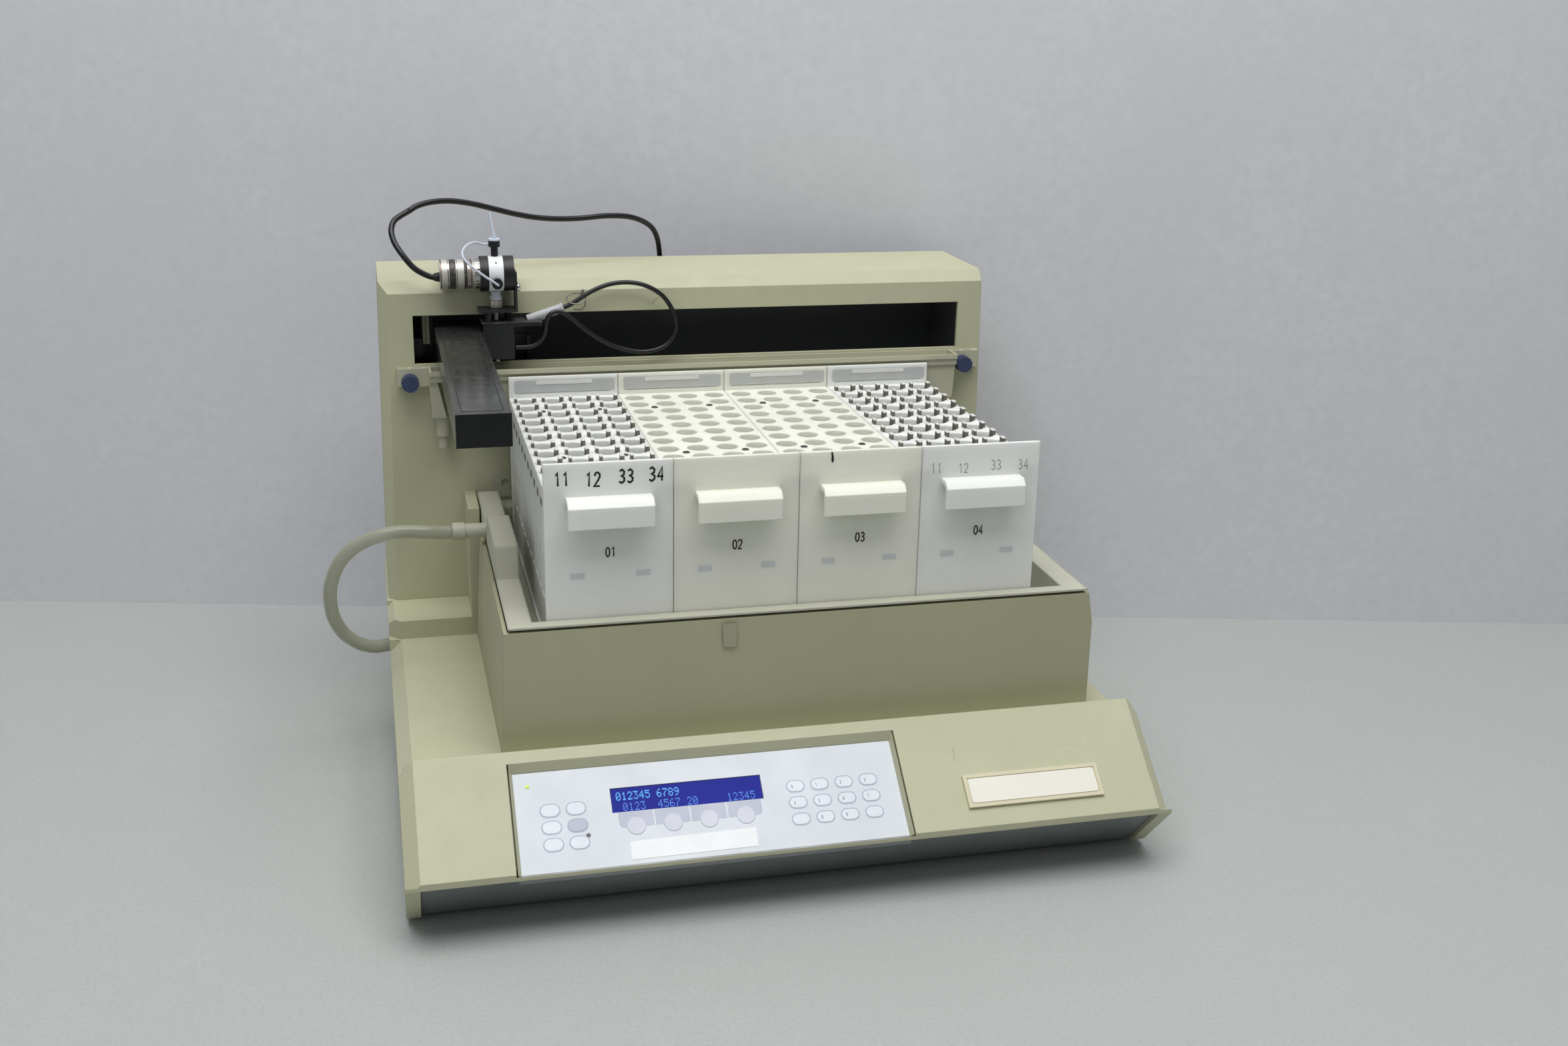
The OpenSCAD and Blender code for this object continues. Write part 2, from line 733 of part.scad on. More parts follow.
module tub_surround() {
    rear = plinth_y - 0.6;
    inner_x = tub_x + tub_lean + tub_wall - 0.6;
    inner_x2 = tub_x2 - tub_lean - tub_wall + 0.6;
    rib_w = tray_in_x + 12 - inner_x;
    rib_d = 4;
    seat_z = tray_floor_h - tray_wall;
    // a wall that leans in from its foot to its rim
    side = [
        [tub_y, deck_at(tub_y)], [tub_y + tub_lean / 2, tub_z], [rear - 22, tub_z],
        [rear, deck_at(rear)]
    ];
    color([0.6, 0.59, 0.47]) device() {
        difference() {
            intersection() {
                along_x(tub_x, tub_x2, side);
                along_y(0, base_d, [
                    [tub_x, 0], [tub_x2, 0], [tub_x2, tub_z - 20],
                    [tub_x2 - tub_lean, tub_z], [tub_x + tub_lean, tub_z], [tub_x, deck_rear_h]
                ]);
            }
            block([inner_x, tub_y + tub_lean / 2 + tub_wall, 0],
                  [inner_x2, base_d, tub_z + cut]);
        }
        // ribs that carry the tray's floor
        for (y = [tub_y + 30, rear - 60], x = [inner_x, inner_x2 - rib_w])
            along_x(x, x + rib_w, [
                [y, deck_at(y)], [y, seat_z], [y + rib_d, seat_z], [y + rib_d, deck_at(y + rib_d)]
            ]);
    }
}

riser_y1 = 165;
riser_y2 = 229;
hump_y1 = 255;
hump_y2 = 320;

module drip_tray() {
    floor_z = tray_floor_h - tray_wall;
    flange_z = tray_z - tray_wall;
    rear = tower_y - gap;
    hump_h = 0.5 * riser_h;
    color([0.69, 0.68, 0.62]) device() {
        difference() {
            union() {
                block([tray_x, tray_y, flange_z], [tray_x2, rear, tray_z]);
                block([tray_in_x - tray_wall, tray_in_y - tray_wall, floor_z],
                      [tray_in_x2 + tray_wall, tray_in_y2 + tray_wall, tray_z]);
            }
            block([tray_in_x, tray_in_y, tray_floor_h], [tray_in_x2, tray_in_y2, tray_z + cut]);
        }
        // raised rim on the left flange, notched for the drain fitting
        along_x(tray_x, tray_in_x, [
            [riser_y1 - 4, flange_z], [riser_y1 - 4, tray_z], [riser_y1 + 1, tray_z + riser_h],
            [riser_y2, tray_z + riser_h], [riser_y2 + 6, tray_z], [riser_y2 + 6, flange_z]
        ]);
        along_x(tray_x, tray_in_x, [
            [hump_y1, flange_z], [hump_y1, tray_z], [hump_y1 + 6, tray_z + hump_h],
            [hump_y2 - 3, tray_z + hump_h], [hump_y2, tray_z], [hump_y2, flange_z]
        ]);
    }
}

module drain_fittings() {
    stub = collar_r - 1;
    barb_r = hose_r - 1.6;
    wall_x = hose_wall_x;
    // elbow between the tray and the hose
    color([0.68, 0.68, 0.6]) device() difference() {
        union() {
            rod_x([drain_x, drain_y, drain_z], collar_r, 8);
            rod_x([drain_x + 7, drain_y, drain_z], stub, tray_x - drain_x - 5);
            block([tray_x, drain_y - 4.5, tray_z], [tray_in_x - 4, drain_y + 4.5, drain_z + 4]);
        }
        rod_x([drain_x - cut, drain_y, drain_z], barb_r, tray_x - drain_x + 7);
        rod_z([tray_x + 5, drain_y, tray_z - cut], barb_r, 8);
    }
    // grommet in the base's side wall
    color([0.15, 0.15, 0.15]) device() difference() {
        union() {
            rod_x([wall_x - 1.2, hose_in_y, hose_in_z], hose_r + 2.8, 1.2);
            rod_x([wall_x - 0.6, hose_in_y, hose_in_z], hose_r + 2, 5);
        }
        rod_x([wall_x + 2, hose_in_y, hose_in_z], hose_r - 1, 4);
        rod_x([0, hose_in_y, hose_in_z], hose_r, wall_x + 2.4);
    }
}

module drain_hose() {
    color([0.75, 0.77, 0.68, 0.7]) device() cord(hose_route, hose_r, 10);
}

// ---------------------------------------------------------------- tower

// How far the tower's sides lie outside its top at a height
function lean_at(z) = tower_lean * (tower_top - z) / (tower_top - shelf_h);

// Outline of the tower between two heights, moved in by a margin
function tower_outline(inward, low, high) = [
    [tower_x - lean_at(low) + inward, low], [tower_x2 + lean_at(low) - inward, low],
    [tower_x2 + lean_at(high) - inward, high], [tower_x - lean_at(high) + inward, high]
];

// Wedge along the tower's top front edge, moved in by a margin
module front_bevel(inward) {
    y = tower_y - cut + inward;
    z = tower_top + cut;
    along_x(tower_x - cut, tower_x2 + cut, [
        [y - 10 * cut, z], [y, z - cut - bevel_h - cut * bevel_h / bevel_d],
        [y + bevel_d + cut + cut * bevel_d / bevel_h, z]
    ]);
}

// Chamfer of size c up the tower's leaning left front edge
module tower_edge(c) {
    translate([tower_x - tower_lean, tower_y, shelf_h])
        rotate([0, atan2(tower_lean, tower_top - shelf_h), 0])
            chamfer_z([0, 0, -tower_wall], tower_top - shelf_h + 2 * tower_wall, c);
}

module tower_cover() {
    color([0.72, 0.71, 0.58]) device() difference() {
        along_y(tower_y, base_d - 2.4, tower_outline(0, shelf_h, tower_top));
        difference() {
            along_y(tower_y + tower_wall, base_d + cut,
                    tower_outline(tower_wall, shelf_h - cut, tower_top - tower_wall));
            front_bevel(1.35 * tower_wall);
            tower_edge(3.2 * tower_wall);
        }
        // long slot for the arm
        block([slot_x, tower_y - cut, slot_z], [slot_x2, tower_y + tower_wall + cut, slot_z2]);
        // bevel along the top and chamfer up the left
        front_bevel(0);
        tower_edge(2 * tower_wall);
        for (x = [knob_x, knob_x2])
            rod_y([x, tower_y - cut, knob_z], knob_shaft_r + knob_room, 3 * tower_wall);
    }
    color([0.76, 0.75, 0.63]) device() {
        // pillars that close the tub's rear corners
        block([tub_x - 3, plinth_y, shelf_h],
              [tub_x + tub_lean + 1.5, tower_y, tray_z + 8]);
        block([tub_x2 - tub_lean - 1.5, plinth_y, shelf_h],
              [tub_x2 + 3, tower_y, tray_z - tray_wall - gap]);
    }
}

module tower_back_panel() {
    z2 = tower_top - tower_wall - gap;
    color([0.42, 0.44, 0.45]) device() difference() {
        along_y(base_d - 2, base_d, tower_outline(tower_wall + gap, shelf_h, z2));
        rod_y([gland_x, base_d - 3, gland_z], gland_r - 1.6, 6);
        for (i = [0 : 11])
            block([base_w / 2 - 60 + 10 * i, base_d - 3, shelf_h + 30],
                  [base_w / 2 - 57 + 10 * i, base_d + cut, shelf_h + 70]);
    }
}

module tower_frame() {
    y1 = tower_y + 12;
    y2 = base_d - 6;
    z2 = tower_top - tower_wall - gap;
    tab_z = belt_x_z - x_pulley_h / 2 - 1;
    color([0.5, 0.52, 0.54]) device() {
        block([frame_x, y1, shelf_h], [frame_x2, y2, shelf_h + frame_t]);
        block([frame_x, y1, shelf_h + frame_t], [frame_x + frame_t, y2, z2]);
        block([frame_x2 - frame_t, y1, shelf_h + frame_t], [frame_x2, y2, z2]);
        // motor bracket on the left plate
        difference() {
            block([frame_x + frame_t, belt_x_y - x_motor_w / 2, x_motor_top],
                  [drive_x + x_motor_w / 2, y2, x_motor_top + frame_t]);
            rod_z([drive_x, belt_x_y, x_motor_top - cut], 4, 5);
        }
        // idler bracket and its pin on the right plate
        block([idler_x - 8, belt_x_y - 8, tab_z - frame_t], [frame_x2 - frame_t, y2, tab_z]);
        rod_z([idler_x, belt_x_y, tab_z], 2, x_pulley_h + 3);
    }
}

module x_rails() {
    x1 = frame_x + frame_t;
    color([0.8, 0.8, 0.82]) device()
        for (z = [rail_low, rail_high])
            rod_x([x1, rail_y, z], rail_r, frame_x2 - frame_t - x1);
}

module x_motor() {
    color([0.2, 0.2, 0.22]) device() {
        block([drive_x - x_motor_w / 2, belt_x_y - x_motor_w / 2, x_motor_top - x_motor_h],
              [drive_x + x_motor_w / 2, belt_x_y + x_motor_w / 2, x_motor_top]);
        rod_z([drive_x, belt_x_y, x_motor_top - cut], 2.5, belt_x_z - x_motor_top + 6);
    }
}

module x_belt() {
    inner = x_pulley_r + gap;
    color([0.08, 0.08, 0.08]) device()
        translate([0, belt_x_y, belt_x_z - belt_w / 2]) linear_extrude(belt_w) difference() {
            union() {
                for (x = [drive_x, idler_x])
                    translate([x, 0]) circle(r = inner + belt_t);
                translate([drive_x, -inner - belt_t])
                    square([idler_x - drive_x, 2 * (inner + belt_t)]);
            }
            for (x = [drive_x, idler_x])
                translate([x, 0]) circle(r = inner);
            translate([drive_x, -inner]) square([idler_x - drive_x, 2 * inner]);
        }
}

module upright_pulley(r, h, bore, rim) {
    difference() {
        union() {
            cylinder(r = r, h = h);
            cylinder(r = r + rim, h = 0.8);
        }
        translate([0, 0, -cut]) cylinder(r = bore, h = h + 2 * cut);
    }
}

module x_drive_pulley() {
    color([0.75, 0.75, 0.77]) device()
        translate([drive_x, belt_x_y, belt_x_z - x_pulley_h / 2])
            upright_pulley(x_pulley_r, x_pulley_h, 2.5 + spin_fit, 1.4);
}

module x_idler_pulley() {
    color([0.75, 0.75, 0.77]) device()
        translate([idler_x, belt_x_y, belt_x_z - x_pulley_h / 2])
            upright_pulley(x_pulley_r, x_pulley_h, 2 + spin_fit, 1.4);
}

module port_plate() {
    x = rack_x - 11.5;
    z = tray_z + 3;
    color([0.82, 0.82, 0.78]) device() difference() {
        block([x, tower_y - 1.5, z], [x + 20, tower_y, z + 17]);
        rod_y([x + 9, tower_y - 2, z + 10], 3, 3);
    }
}

module power_inlet() {
    y = base_d - 22;
    x1 = inlet_x - inlet_w / 2 + 6 + gap;
    x2 = inlet_x + inlet_w / 2 - 6 - gap;
    z1 = inlet_z - inlet_h / 2 + 2 + gap;
    z2 = inlet_z + inlet_h / 2 - 2 - gap;
    color([0.1, 0.1, 0.1]) device() {
        difference() {
            block([x1, y, z1], [x2, base_d, z2]);
            block([x1 + 3, y + 3, z1 + 3], [x2 - 3, base_d + cut, z2 - 3]);
        }
        for (i = [-1 : 1])
            block([inlet_x - 1 + 7 * i, y + 2, inlet_z - 2 + 2 * abs(i)],
                  [inlet_x + 1 + 7 * i, base_d - 5, inlet_z + 2 + 2 * abs(i)]);
    }
}

module power_switch() {
    w = switch_w - 2 * gap;
    color([0.08, 0.08, 0.08]) device()
        translate([switch_x, base_d - 6, inlet_z]) rotate([switch_tilt, 0, 0]) {
            block([-w / 2, -1, -switch_h / 2 + 2.4], [w / 2, 3, switch_h / 2 - 2.4]);
            // barrel on the tipping axis
            rod_x([-w / 2, 0, 0], 2.2, w);
        }
}

// ---------------------------------------------------------------- trough

module drain_trough() {
    y1 = trough_y;
    y2 = trough_y + trough_d;
    step_z = trough_top - trough_band;
    under_z = step_z - 1.4 * trough_band;
    low = trough_top - trough_h;
    skirt_x = trough_x + 16;
    skirt_y = y1 + 3.2;
    color([0.66, 0.65, 0.53]) device() {
        difference() {
            union() {
                // shallow channel with a stepped lip
                along_x(trough_x, trough_x2, [
                    [y1, trough_top], [y1, step_z], [y1 + 1.4, step_z], [y1 + 1.4, under_z],
                    [y2, under_z], [y2, trough_top]
                ]);
                // skirt under the channel
                along_y(skirt_y, y2, [
                    [skirt_x, low], [trough_x2 - 1.9, low], [trough_x2 - 0.4, under_z + cut],
                    [skirt_x, under_z + cut]
                ]);
                // chute that carries the spout
                along_y(skirt_y, y2, [
                    [spout_x - 7.2, low], [spout_x + 2.5, low],
                    [spout_x - 3.1, under_z + cut], [spout_x - 8.6, under_z + cut]
                ]);
                // ears screwed to the tower
                block([trough_x - ear_w, y2 - ear_t, trough_top - ear_h],
                      [trough_x + trough_wall, y2, trough_top]);
                block([trough_x2 - trough_wall, y2 - ear_t, trough_top - ear_h],
                      [trough_x2 + ear_w, y2, trough_top]);
            }
            block([trough_x + trough_wall, y1 + trough_wall, under_z + trough_wall],
                  [trough_x2 - trough_wall, y2 - trough_wall, trough_top + cut]);
            // open underside, so that only the channel and its skirt are left
            block([skirt_x - cut, skirt_y + trough_wall, low - cut],
                  [trough_x2 - 1.9 - trough_wall, y2 - trough_wall, under_z]);
            rod_z([spout_x, spout_y, low - cut], spout_bore, 3 * trough_h);
            for (x = [knob_x, knob_x2]) {
                rod_y([x, y2 - ear_t - cut, knob_z], knob_shaft_r + knob_room, ear_t + 2 * cut);
                // two recesses in the ear's top
                for (side = [-1, 1])
                    translate([x + side * ear_w / 5, y2 - ear_t / 2, trough_top])
                        cube([ear_w / 3, ear_t / 2.4, ear_h / 3], center = true);
            }
        }
        // stepped spout under the chute
        difference() {
            union() {
                rod_z([spout_x, spout_y, low - 14], spout_r, 14);
                rod_z([spout_x, spout_y, low - 22.8], spout_r - 1.4, 9);
            }
            rod_z([spout_x, spout_y, low - 23], spout_bore, 30);
        }
    }
}

spout_r = 4.8;
spout_bore = 2.2;
spout_y = trough_y + trough_d / 2 + 1;

module thumb_knob(x) {
    back = trough_y + trough_d - ear_t - gap;
    color([0.18, 0.22, 0.36]) device() {
        difference() {
            rod_y([x, back - knob_len, knob_z], knob_r, knob_len);
            for (i = [0 : 11])
                translate([x, back, knob_z]) rotate([0, 30 * i, 0])
                    rod_y([knob_r + 0.35, -knob_len - cut, 0], 0.8, knob_len - 1);
        }
        rod_y([x, back - cut, knob_z], knob_shaft_r, ear_t + tower_wall + 2);
    }
}

module trough_knob_left() {
    thumb_knob(knob_x);
}

module trough_knob_right() {
    thumb_knob(knob_x2);
}

// ---------------------------------------------------------------- arm

module x_carriage() {
    x1 = arm_x - 2;
    x2 = arm_x + 64;
    y1 = carriage_y;
    y2 = carriage_y + carriage_d;
    tab_y = belt_x_y - x_pulley_r - gap - belt_t - gap;
    plate_z = rail_low - 8;
    color([0.12, 0.12, 0.13]) device() {
        difference() {
            union() {
                block([x1, y1, plate_z], [x2, y2, rail_low + 8]);
                block([x1, y1, rail_high - 8], [x2, y2, rail_high + 6.4]);
                block([x1, y1, rail_low + 8], [x2, y1 + 8, rail_high - 8]);
                // tab that grips the long belt
                block([arm_x + 26, y2 - 2, belt_x_z - 4], [arm_x + 40, tab_y, rail_low + 4]);
            }
            for (z = [rail_low, rail_high])
                rod_x([x1 - cut, rail_y, z], rail_r + slide_fit, x2 - x1 + 2 * cut);
        }
        // side brackets seen through the slot
        block([arm_x - 8.2, y1 - 6, slot_z + 1], [arm_x - 5.5, y1, slot_z2 - 1]);
        block([arm_x - 5.5, y1 - 2, slot_z + 1], [arm_x - 0.5, y1, slot_z2 - 1]);
        block([arm_x - 15, y1 - 10, slot_z + 1], [arm_x - 8.2, y1 - 2, slot_z + 14]);
        block([arm_x2 + 0.5, y1 - 2, slot_z - 6], [arm_x + 67.5, y1, slot_z + 14]);
        block([arm_x + 65, y1 - 8, slot_z - 6], [arm_x + 67.5, y1 - 2, slot_z + 14]);
    }
}

module arm_beam() {
    x1 = arm_x;
    x2 = arm_x2;
    y1 = arm_y + cap_t;
    y2 = carriage_y;
    w = arm_wall;
    top = arm_z2 - 2 * lid_ledge;
    color([0.13, 0.14, 0.16]) device() difference() {
        block([x1, y1, arm_z], [x2, y2, arm_z2]);
        block([x1 + w, y1 - cut, arm_z + w], [x2 - w, y2 + cut, top]);
        // opening and seat of the lid
        block([x1 + lid_inset + lid_ledge, y1 + 4, top - cut],
              [x2 - lid_inset - lid_ledge, tower_y - 4, arm_z2 + cut]);
        block([x1 + lid_inset, y1 + 3, arm_z2 - lid_ledge],
              [x2 - lid_inset, tower_y - 3, arm_z2 + cut]);
        // slit that the drop head reaches through
        block([x2 - w - cut, y1 + 0.5, rod_z - arm_slit_h / 2],
              [x2 + cut, tower_y + 2, rod_z + arm_slit_h / 2]);
        rod_z([belt_y_x, y_drive_y, arm_z - cut], 3.4, w + 2 * cut);
    }
}

module arm_lid() {
    color([0.16, 0.17, 0.19]) device()
        block([arm_x + lid_inset + gap / 2, arm_y + cap_t + 3 + gap / 2, arm_z2 - lid_ledge],
              [arm_x2 - lid_inset - gap / 2, tower_y - 3 - gap / 2, arm_z2]);
}

module arm_end_cap() {
    pin_h = belt_y_z + y_pulley_h / 2 + 2 - arm_z;
    color([0.11, 0.12, 0.14]) device() {
        block([arm_x, arm_y, arm_z], [arm_x2, arm_y + cap_t, arm_z2]);
        // foot of the idler post, under the beam
        rod_z([belt_y_x + 8.4, arm_y + 9.5, arm_z - 1.2], 5.5, 1.2);
        rod_z([belt_y_x, y_idler_y, arm_z + arm_wall], 1.6, pin_h - arm_wall);
    }
}

module arm_rod() {
    color([0.8, 0.8, 0.82]) device()
        rod_y([rod_x, arm_y + cap_t, rod_z], guide_r, arm_len - cap_t);
}

module y_motor() {
    color([0.22, 0.22, 0.24]) device() {
        rod_z([belt_y_x, y_drive_y, arm_z - y_motor_h], y_motor_r, y_motor_h);
        rod_z([belt_y_x, y_drive_y, arm_z - cut], 1.6, belt_y_z - arm_z + y_pulley_h / 2 + 2);
    }
}

module y_belt() {
    inner = y_pulley_r + gap;
    wide = inner + belt_t - 0.2;
    color([0.08, 0.08, 0.08]) device()
        translate([belt_y_x, 0, belt_y_z - belt_w / 2]) linear_extrude(belt_w) difference() {
            union() {
                for (y = [y_idler_y, y_drive_y])
                    translate([0, y]) circle(r = wide);
                translate([-wide, y_idler_y]) square([2 * wide, y_drive_y - y_idler_y]);
            }
            for (y = [y_idler_y, y_drive_y])
                translate([0, y]) circle(r = inner);
            translate([-inner, y_idler_y]) square([2 * inner, y_drive_y - y_idler_y]);
        }
}

module y_drive_pulley() {
    color([0.75, 0.75, 0.77]) device()
        translate([belt_y_x, y_drive_y, belt_y_z - y_pulley_h / 2])
            upright_pulley(y_pulley_r, y_pulley_h, 1.6 + spin_fit, 1);
}

module y_idler_pulley() {
    color([0.75, 0.75, 0.77]) device()
        translate([belt_y_x, y_idler_y, belt_y_z - y_pulley_h / 2])
            upright_pulley(y_pulley_r, y_pulley_h, 1.6 + spin_fit, 1);
}

// ---------------------------------------------------------------- drop head

module head_block() {
    y2 = head_y + head_d;
    slider_x = rod_x - guide_r - 3;
    tab_x = belt_y_x + y_pulley_r + gap + belt_t + gap;
    color([0.1, 0.1, 0.11]) device() difference() {
        union() {
            block([head_x, head_y, head_z], [head_x + head_w, y2, head_z + head_h]);
            block([head_x, head_y, head_z + head_h],
                  [head_x + flange_w, y2, head_z + head_h + flange_t]);
            block([head_x + flange_w, head_y + 1, head_z + head_h],
                  [head_x + flange_w + 10, head_y + 8, head_z + head_h + flange_t]);
            // slider inside the arm and the neck that joins it
            block([slider_x, head_y + 2.5, rod_z - 6],
                  [arm_x2 - arm_wall - gap, y2 - 1, rod_z + 6]);
            block([arm_x2 - arm_wall - cut, head_y + 3, rod_z - arm_slit_h / 2 + 0.5],
                  [head_x + cut, y2 - 2, rod_z + arm_slit_h / 2 - 0.5]);
            block([tab_x, head_y + 5, belt_y_z - 2.5], [slider_x + cut, y2 - 3, belt_y_z + 2.5]);
            // posts that carry the valve's stage
            for (spot = [[4, 3], [head_w - 3, head_d - 3]])
                rod_z([head_x + spot[0], head_y + spot[1], head_z + head_h], 2.2,
                      stage_z - head_z - head_h);
        }
        rod_y([rod_x, head_y - cut, rod_z], guide_r + slide_fit, head_d + 2 * cut);
        rod_z([needle_x, needle_y, head_z - cut], nozzle_r + 0.15, head_h + 4 * cut);
        // light path of the drop sensor
        block([head_x - cut, needle_y - 2, head_z - cut],
              [head_x + head_w + cut, needle_y + 2, head_z + 3]);
    }
}

module head_bracket() {
    leg_x = valve_x + valve_front_w + valve_mid_w + valve_back_w + 0.2;
    color([0.12, 0.12, 0.13]) device() {
        difference() {
            union() {
                block([head_x - 2.5, head_y, stage_z], [leg_x, head_y + head_d, stage_z + stage_t]);
                block([leg_x, head_y + 2, stage_z],
                      [leg_x + stage_t, head_y + head_d - 2, valve_z + 2]);
            }
            rod_z([needle_x, needle_y, stage_z - cut], nozzle_r + 0.15, stage_t + 2 * cut);
            rod_x([leg_x - cut, needle_y, valve_z - 9], 1.4, stage_t + 2 * cut);
        }
        rod_x([leg_x - 0.2, needle_y, valve_z - 9], 1.3, stage_t + 0.2);
        rod_x([leg_x + stage_t, needle_y, valve_z - 9], 2.4, 1.2);
    }
}

module valve_body() {
    x = valve_x + valve_front_w;
    color([0.93, 0.93, 0.91]) device()
        difference() {
            rod_x([x, needle_y, valve_z], valve_r, valve_mid_w);
            rod_z([x + valve_mid_w / 2, needle_y, valve_z - valve_r - cut], 0.8, 2 * valve_r + 4);
            rod_z([x + valve_mid_w / 2, needle_y, valve_z + valve_r - 2], 1.6, 4);
        }
}

module valve_caps() {
    x2 = valve_x + valve_front_w + valve_mid_w;
    color([0.07, 0.07, 0.07]) device() {
        rod_x([valve_x, needle_y, valve_z], valve_r, valve_front_w);
        rod_x([x2, needle_y, valve_z], valve_r, valve_back_w);
    }
}

module valve_coil() {
    color([0.68, 0.67, 0.64]) device() {
        rod_x([valve_x - 4, needle_y, valve_z], coil_r, 4);
        rod_x([valve_x - 6, needle_y, valve_z], coil_r - 1, 2.5);
        rod_x([valve_x - coil_len, needle_y, valve_z], coil_r, coil_len - 6);
    }
}

module tube_fittings() {
    port_x = needle_x + 0.3;
    color([0.08, 0.08, 0.08]) device() {
        // top union with its neck
        difference() {
            union() {
                rod_z([needle_x, needle_y, valve_z + valve_r - 0.4], neck_r, 7.5);
                rod_z([needle_x, needle_y, valve_z + valve_r + 6.3], top_r, 5.5);
            }
            rod_z([needle_x, needle_y, valve_z + valve_r - cut], 1.2, 16);
            rod_x([valve_x, needle_y, valve_z], valve_r + 0.02, 30);
        }
        // front union on the white ring
        difference() {
            union() {
                rod_y([port_x, needle_y - valve_r - 4.4, valve_z - 4.6], 3.6, 6.4);
                rod_y([port_x, needle_y - valve_r - 6.4, valve_z - 4.6], 2.4, 3);
            }
            rod_y([port_x, needle_y - valve_r - 7, valve_z - 4.6], bypass_r, 6);
            rod_x([valve_x, needle_y, valve_z], valve_r + 0.02, 30);
        }
        // stub of the supply line
        translate([needle_x, needle_y, valve_z + valve_r + 11.8]) rotate([0, -8, 0])
            difference() {
                cylinder(r1 = 1.1, r2 = 0.9, h = 17.8);
                translate([0, 0, 2]) cylinder(r = 0.45, h = 20);
            }
    }
}

module drop_nozzle() {
    top = valve_z - valve_r;
    nut_h = 5.3;
    color([0.85, 0.85, 0.83]) device() difference() {
        union() {
            rod_z([needle_x, needle_y, nozzle_z], nozzle_r, stage_z - nozzle_z + 1.6);
            rod_z([needle_x, needle_y, stage_z + stage_t], nut_r, nut_h);
            rod_z([needle_x, needle_y, stage_z + stage_t + nut_h - 0.2], outlet_r,
                  top - stage_z - stage_t - nut_h + 0.2);
        }
        rod_z([needle_x, needle_y, nozzle_z - 1.6], nozzle_bore, valve_z - nozzle_z + 1.6);
        rod_x([valve_x, needle_y, valve_z], valve_r + 0.02, 30);
    }
}

module bypass_tube() {
    color([0.92, 0.93, 0.95]) device() cord(bypass_route, bypass_r, 8);
}

module sensor_cable() {
    color([0.08, 0.08, 0.08]) device() cord(sensor_route, sensor_cable_r, 8);
}

module cable_sleeve() {
    run = sleeve_end - sleeve_start;
    color([0.75, 0.76, 0.76]) device()
        translate(sleeve_start) rotate([0, atan2(run[0], run[2]), 0])
            cylinder(r = 3.3, h = norm(run));
}

module valve_cable_head() {
    color([0.07, 0.07, 0.07]) device() cord(valve_head_route, valve_cable_r, 8);
}

module valve_cable_rear() {
    color([0.07, 0.07, 0.07]) device() cord(valve_rear_route, valve_cable_r, 8);
}

// ---------------------------------------------------------------- racks

// Places a child at the left front foot of one rack
module at_rack(i) {
    device() translate([rack_x + i * rack_step, rack_y, rack_z]) children();
}

module rack_shell(i) {
    inner_d = rack_d - 2 * rack_plate;
    pull_x = (rack_w - pull_w) / 2;
    pull_top = rack_h - pull_drop;
    color([0.85, 0.85, 0.81]) at_rack(i) {
        difference() {
            union() {
                cube([rack_w, rack_plate, rack_h]);
                translate([0, rack_d - rack_plate, 0]) cube([rack_w, rack_plate, rack_h]);
                translate([0, rack_plate, 0]) cube([rack_w, inner_d, rack_floor]);
            }
            // shallow panel in the rear plate, seen above the grid
            translate([5, rack_d - rack_plate - cut, rack_h - grid_drop + 3])
                cube([rack_w - 10, cut + 0.8, grid_drop - 5.5]);
        }
        // hooked pull on the front plate
        along_x(pull_x, pull_x + pull_w, [
            [0, pull_top], [4 - pull_reach, pull_top], [-pull_reach, pull_top - 4],
            [-pull_reach, pull_top - pull_h], [pull_t - pull_reach, pull_top - pull_h],
            [pull_t - pull_reach, pull_top - 5], [5 - pull_reach, pull_top - pull_t],
            [0, pull_top - pull_t]
        ]);
    }
}

// Plate with the round wells
module rack_grid(i) {
    top = rack_h - grid_drop;
    color([0.88, 0.88, 0.85]) at_rack(i)
        translate([0, 0, top - grid_t]) linear_extrude(grid_t) difference() {
            translate([0, rack_plate]) square([rack_w, rack_d - 2 * rack_plate]);
            for (c = [0 : well_cols - 1], r = [0 : well_rows - 1])
                translate([well_x0 + c * well_pitch_x, well_y0 + r * well_pitch_y])
                    circle(d = well_d);
        }
}

// Bars between the rows, between the columns and at the lower guide
// Strip of a rack's side with one bump of radius r for each row of wells
module scallops(r, low, high) {
    x2 = well_x0 - well_d / 2;
    translate([0, 0, low]) linear_extrude(high - low) {
        translate([x2 - side_web, rack_plate]) square([side_web, rack_d - 2 * rack_plate]);
        intersection() {
            translate([0, rack_plate]) square([x2, rack_d - 2 * rack_plate]);
            for (n = [0 : well_rows - 1])
                translate([well_x0, well_y0 + n * well_pitch_y]) circle(r);
        }
    }
}

// Side of a rack, from its floor up to a height
module side_wall(high) {
    scallops(wide_scallop_r, high - scallop_h, high);
    scallops(slim_scallop_r, 1.6 * rack_floor + guide_z / 2, high - scallop_h + cut);
    block([well_x0 - well_d / 2 - 1.6 * side_web, rack_plate, rack_floor],
          [well_x0 - well_d / 2, rack_d - rack_plate, 1.6 * rack_floor + guide_z / 2 + cut]);
}

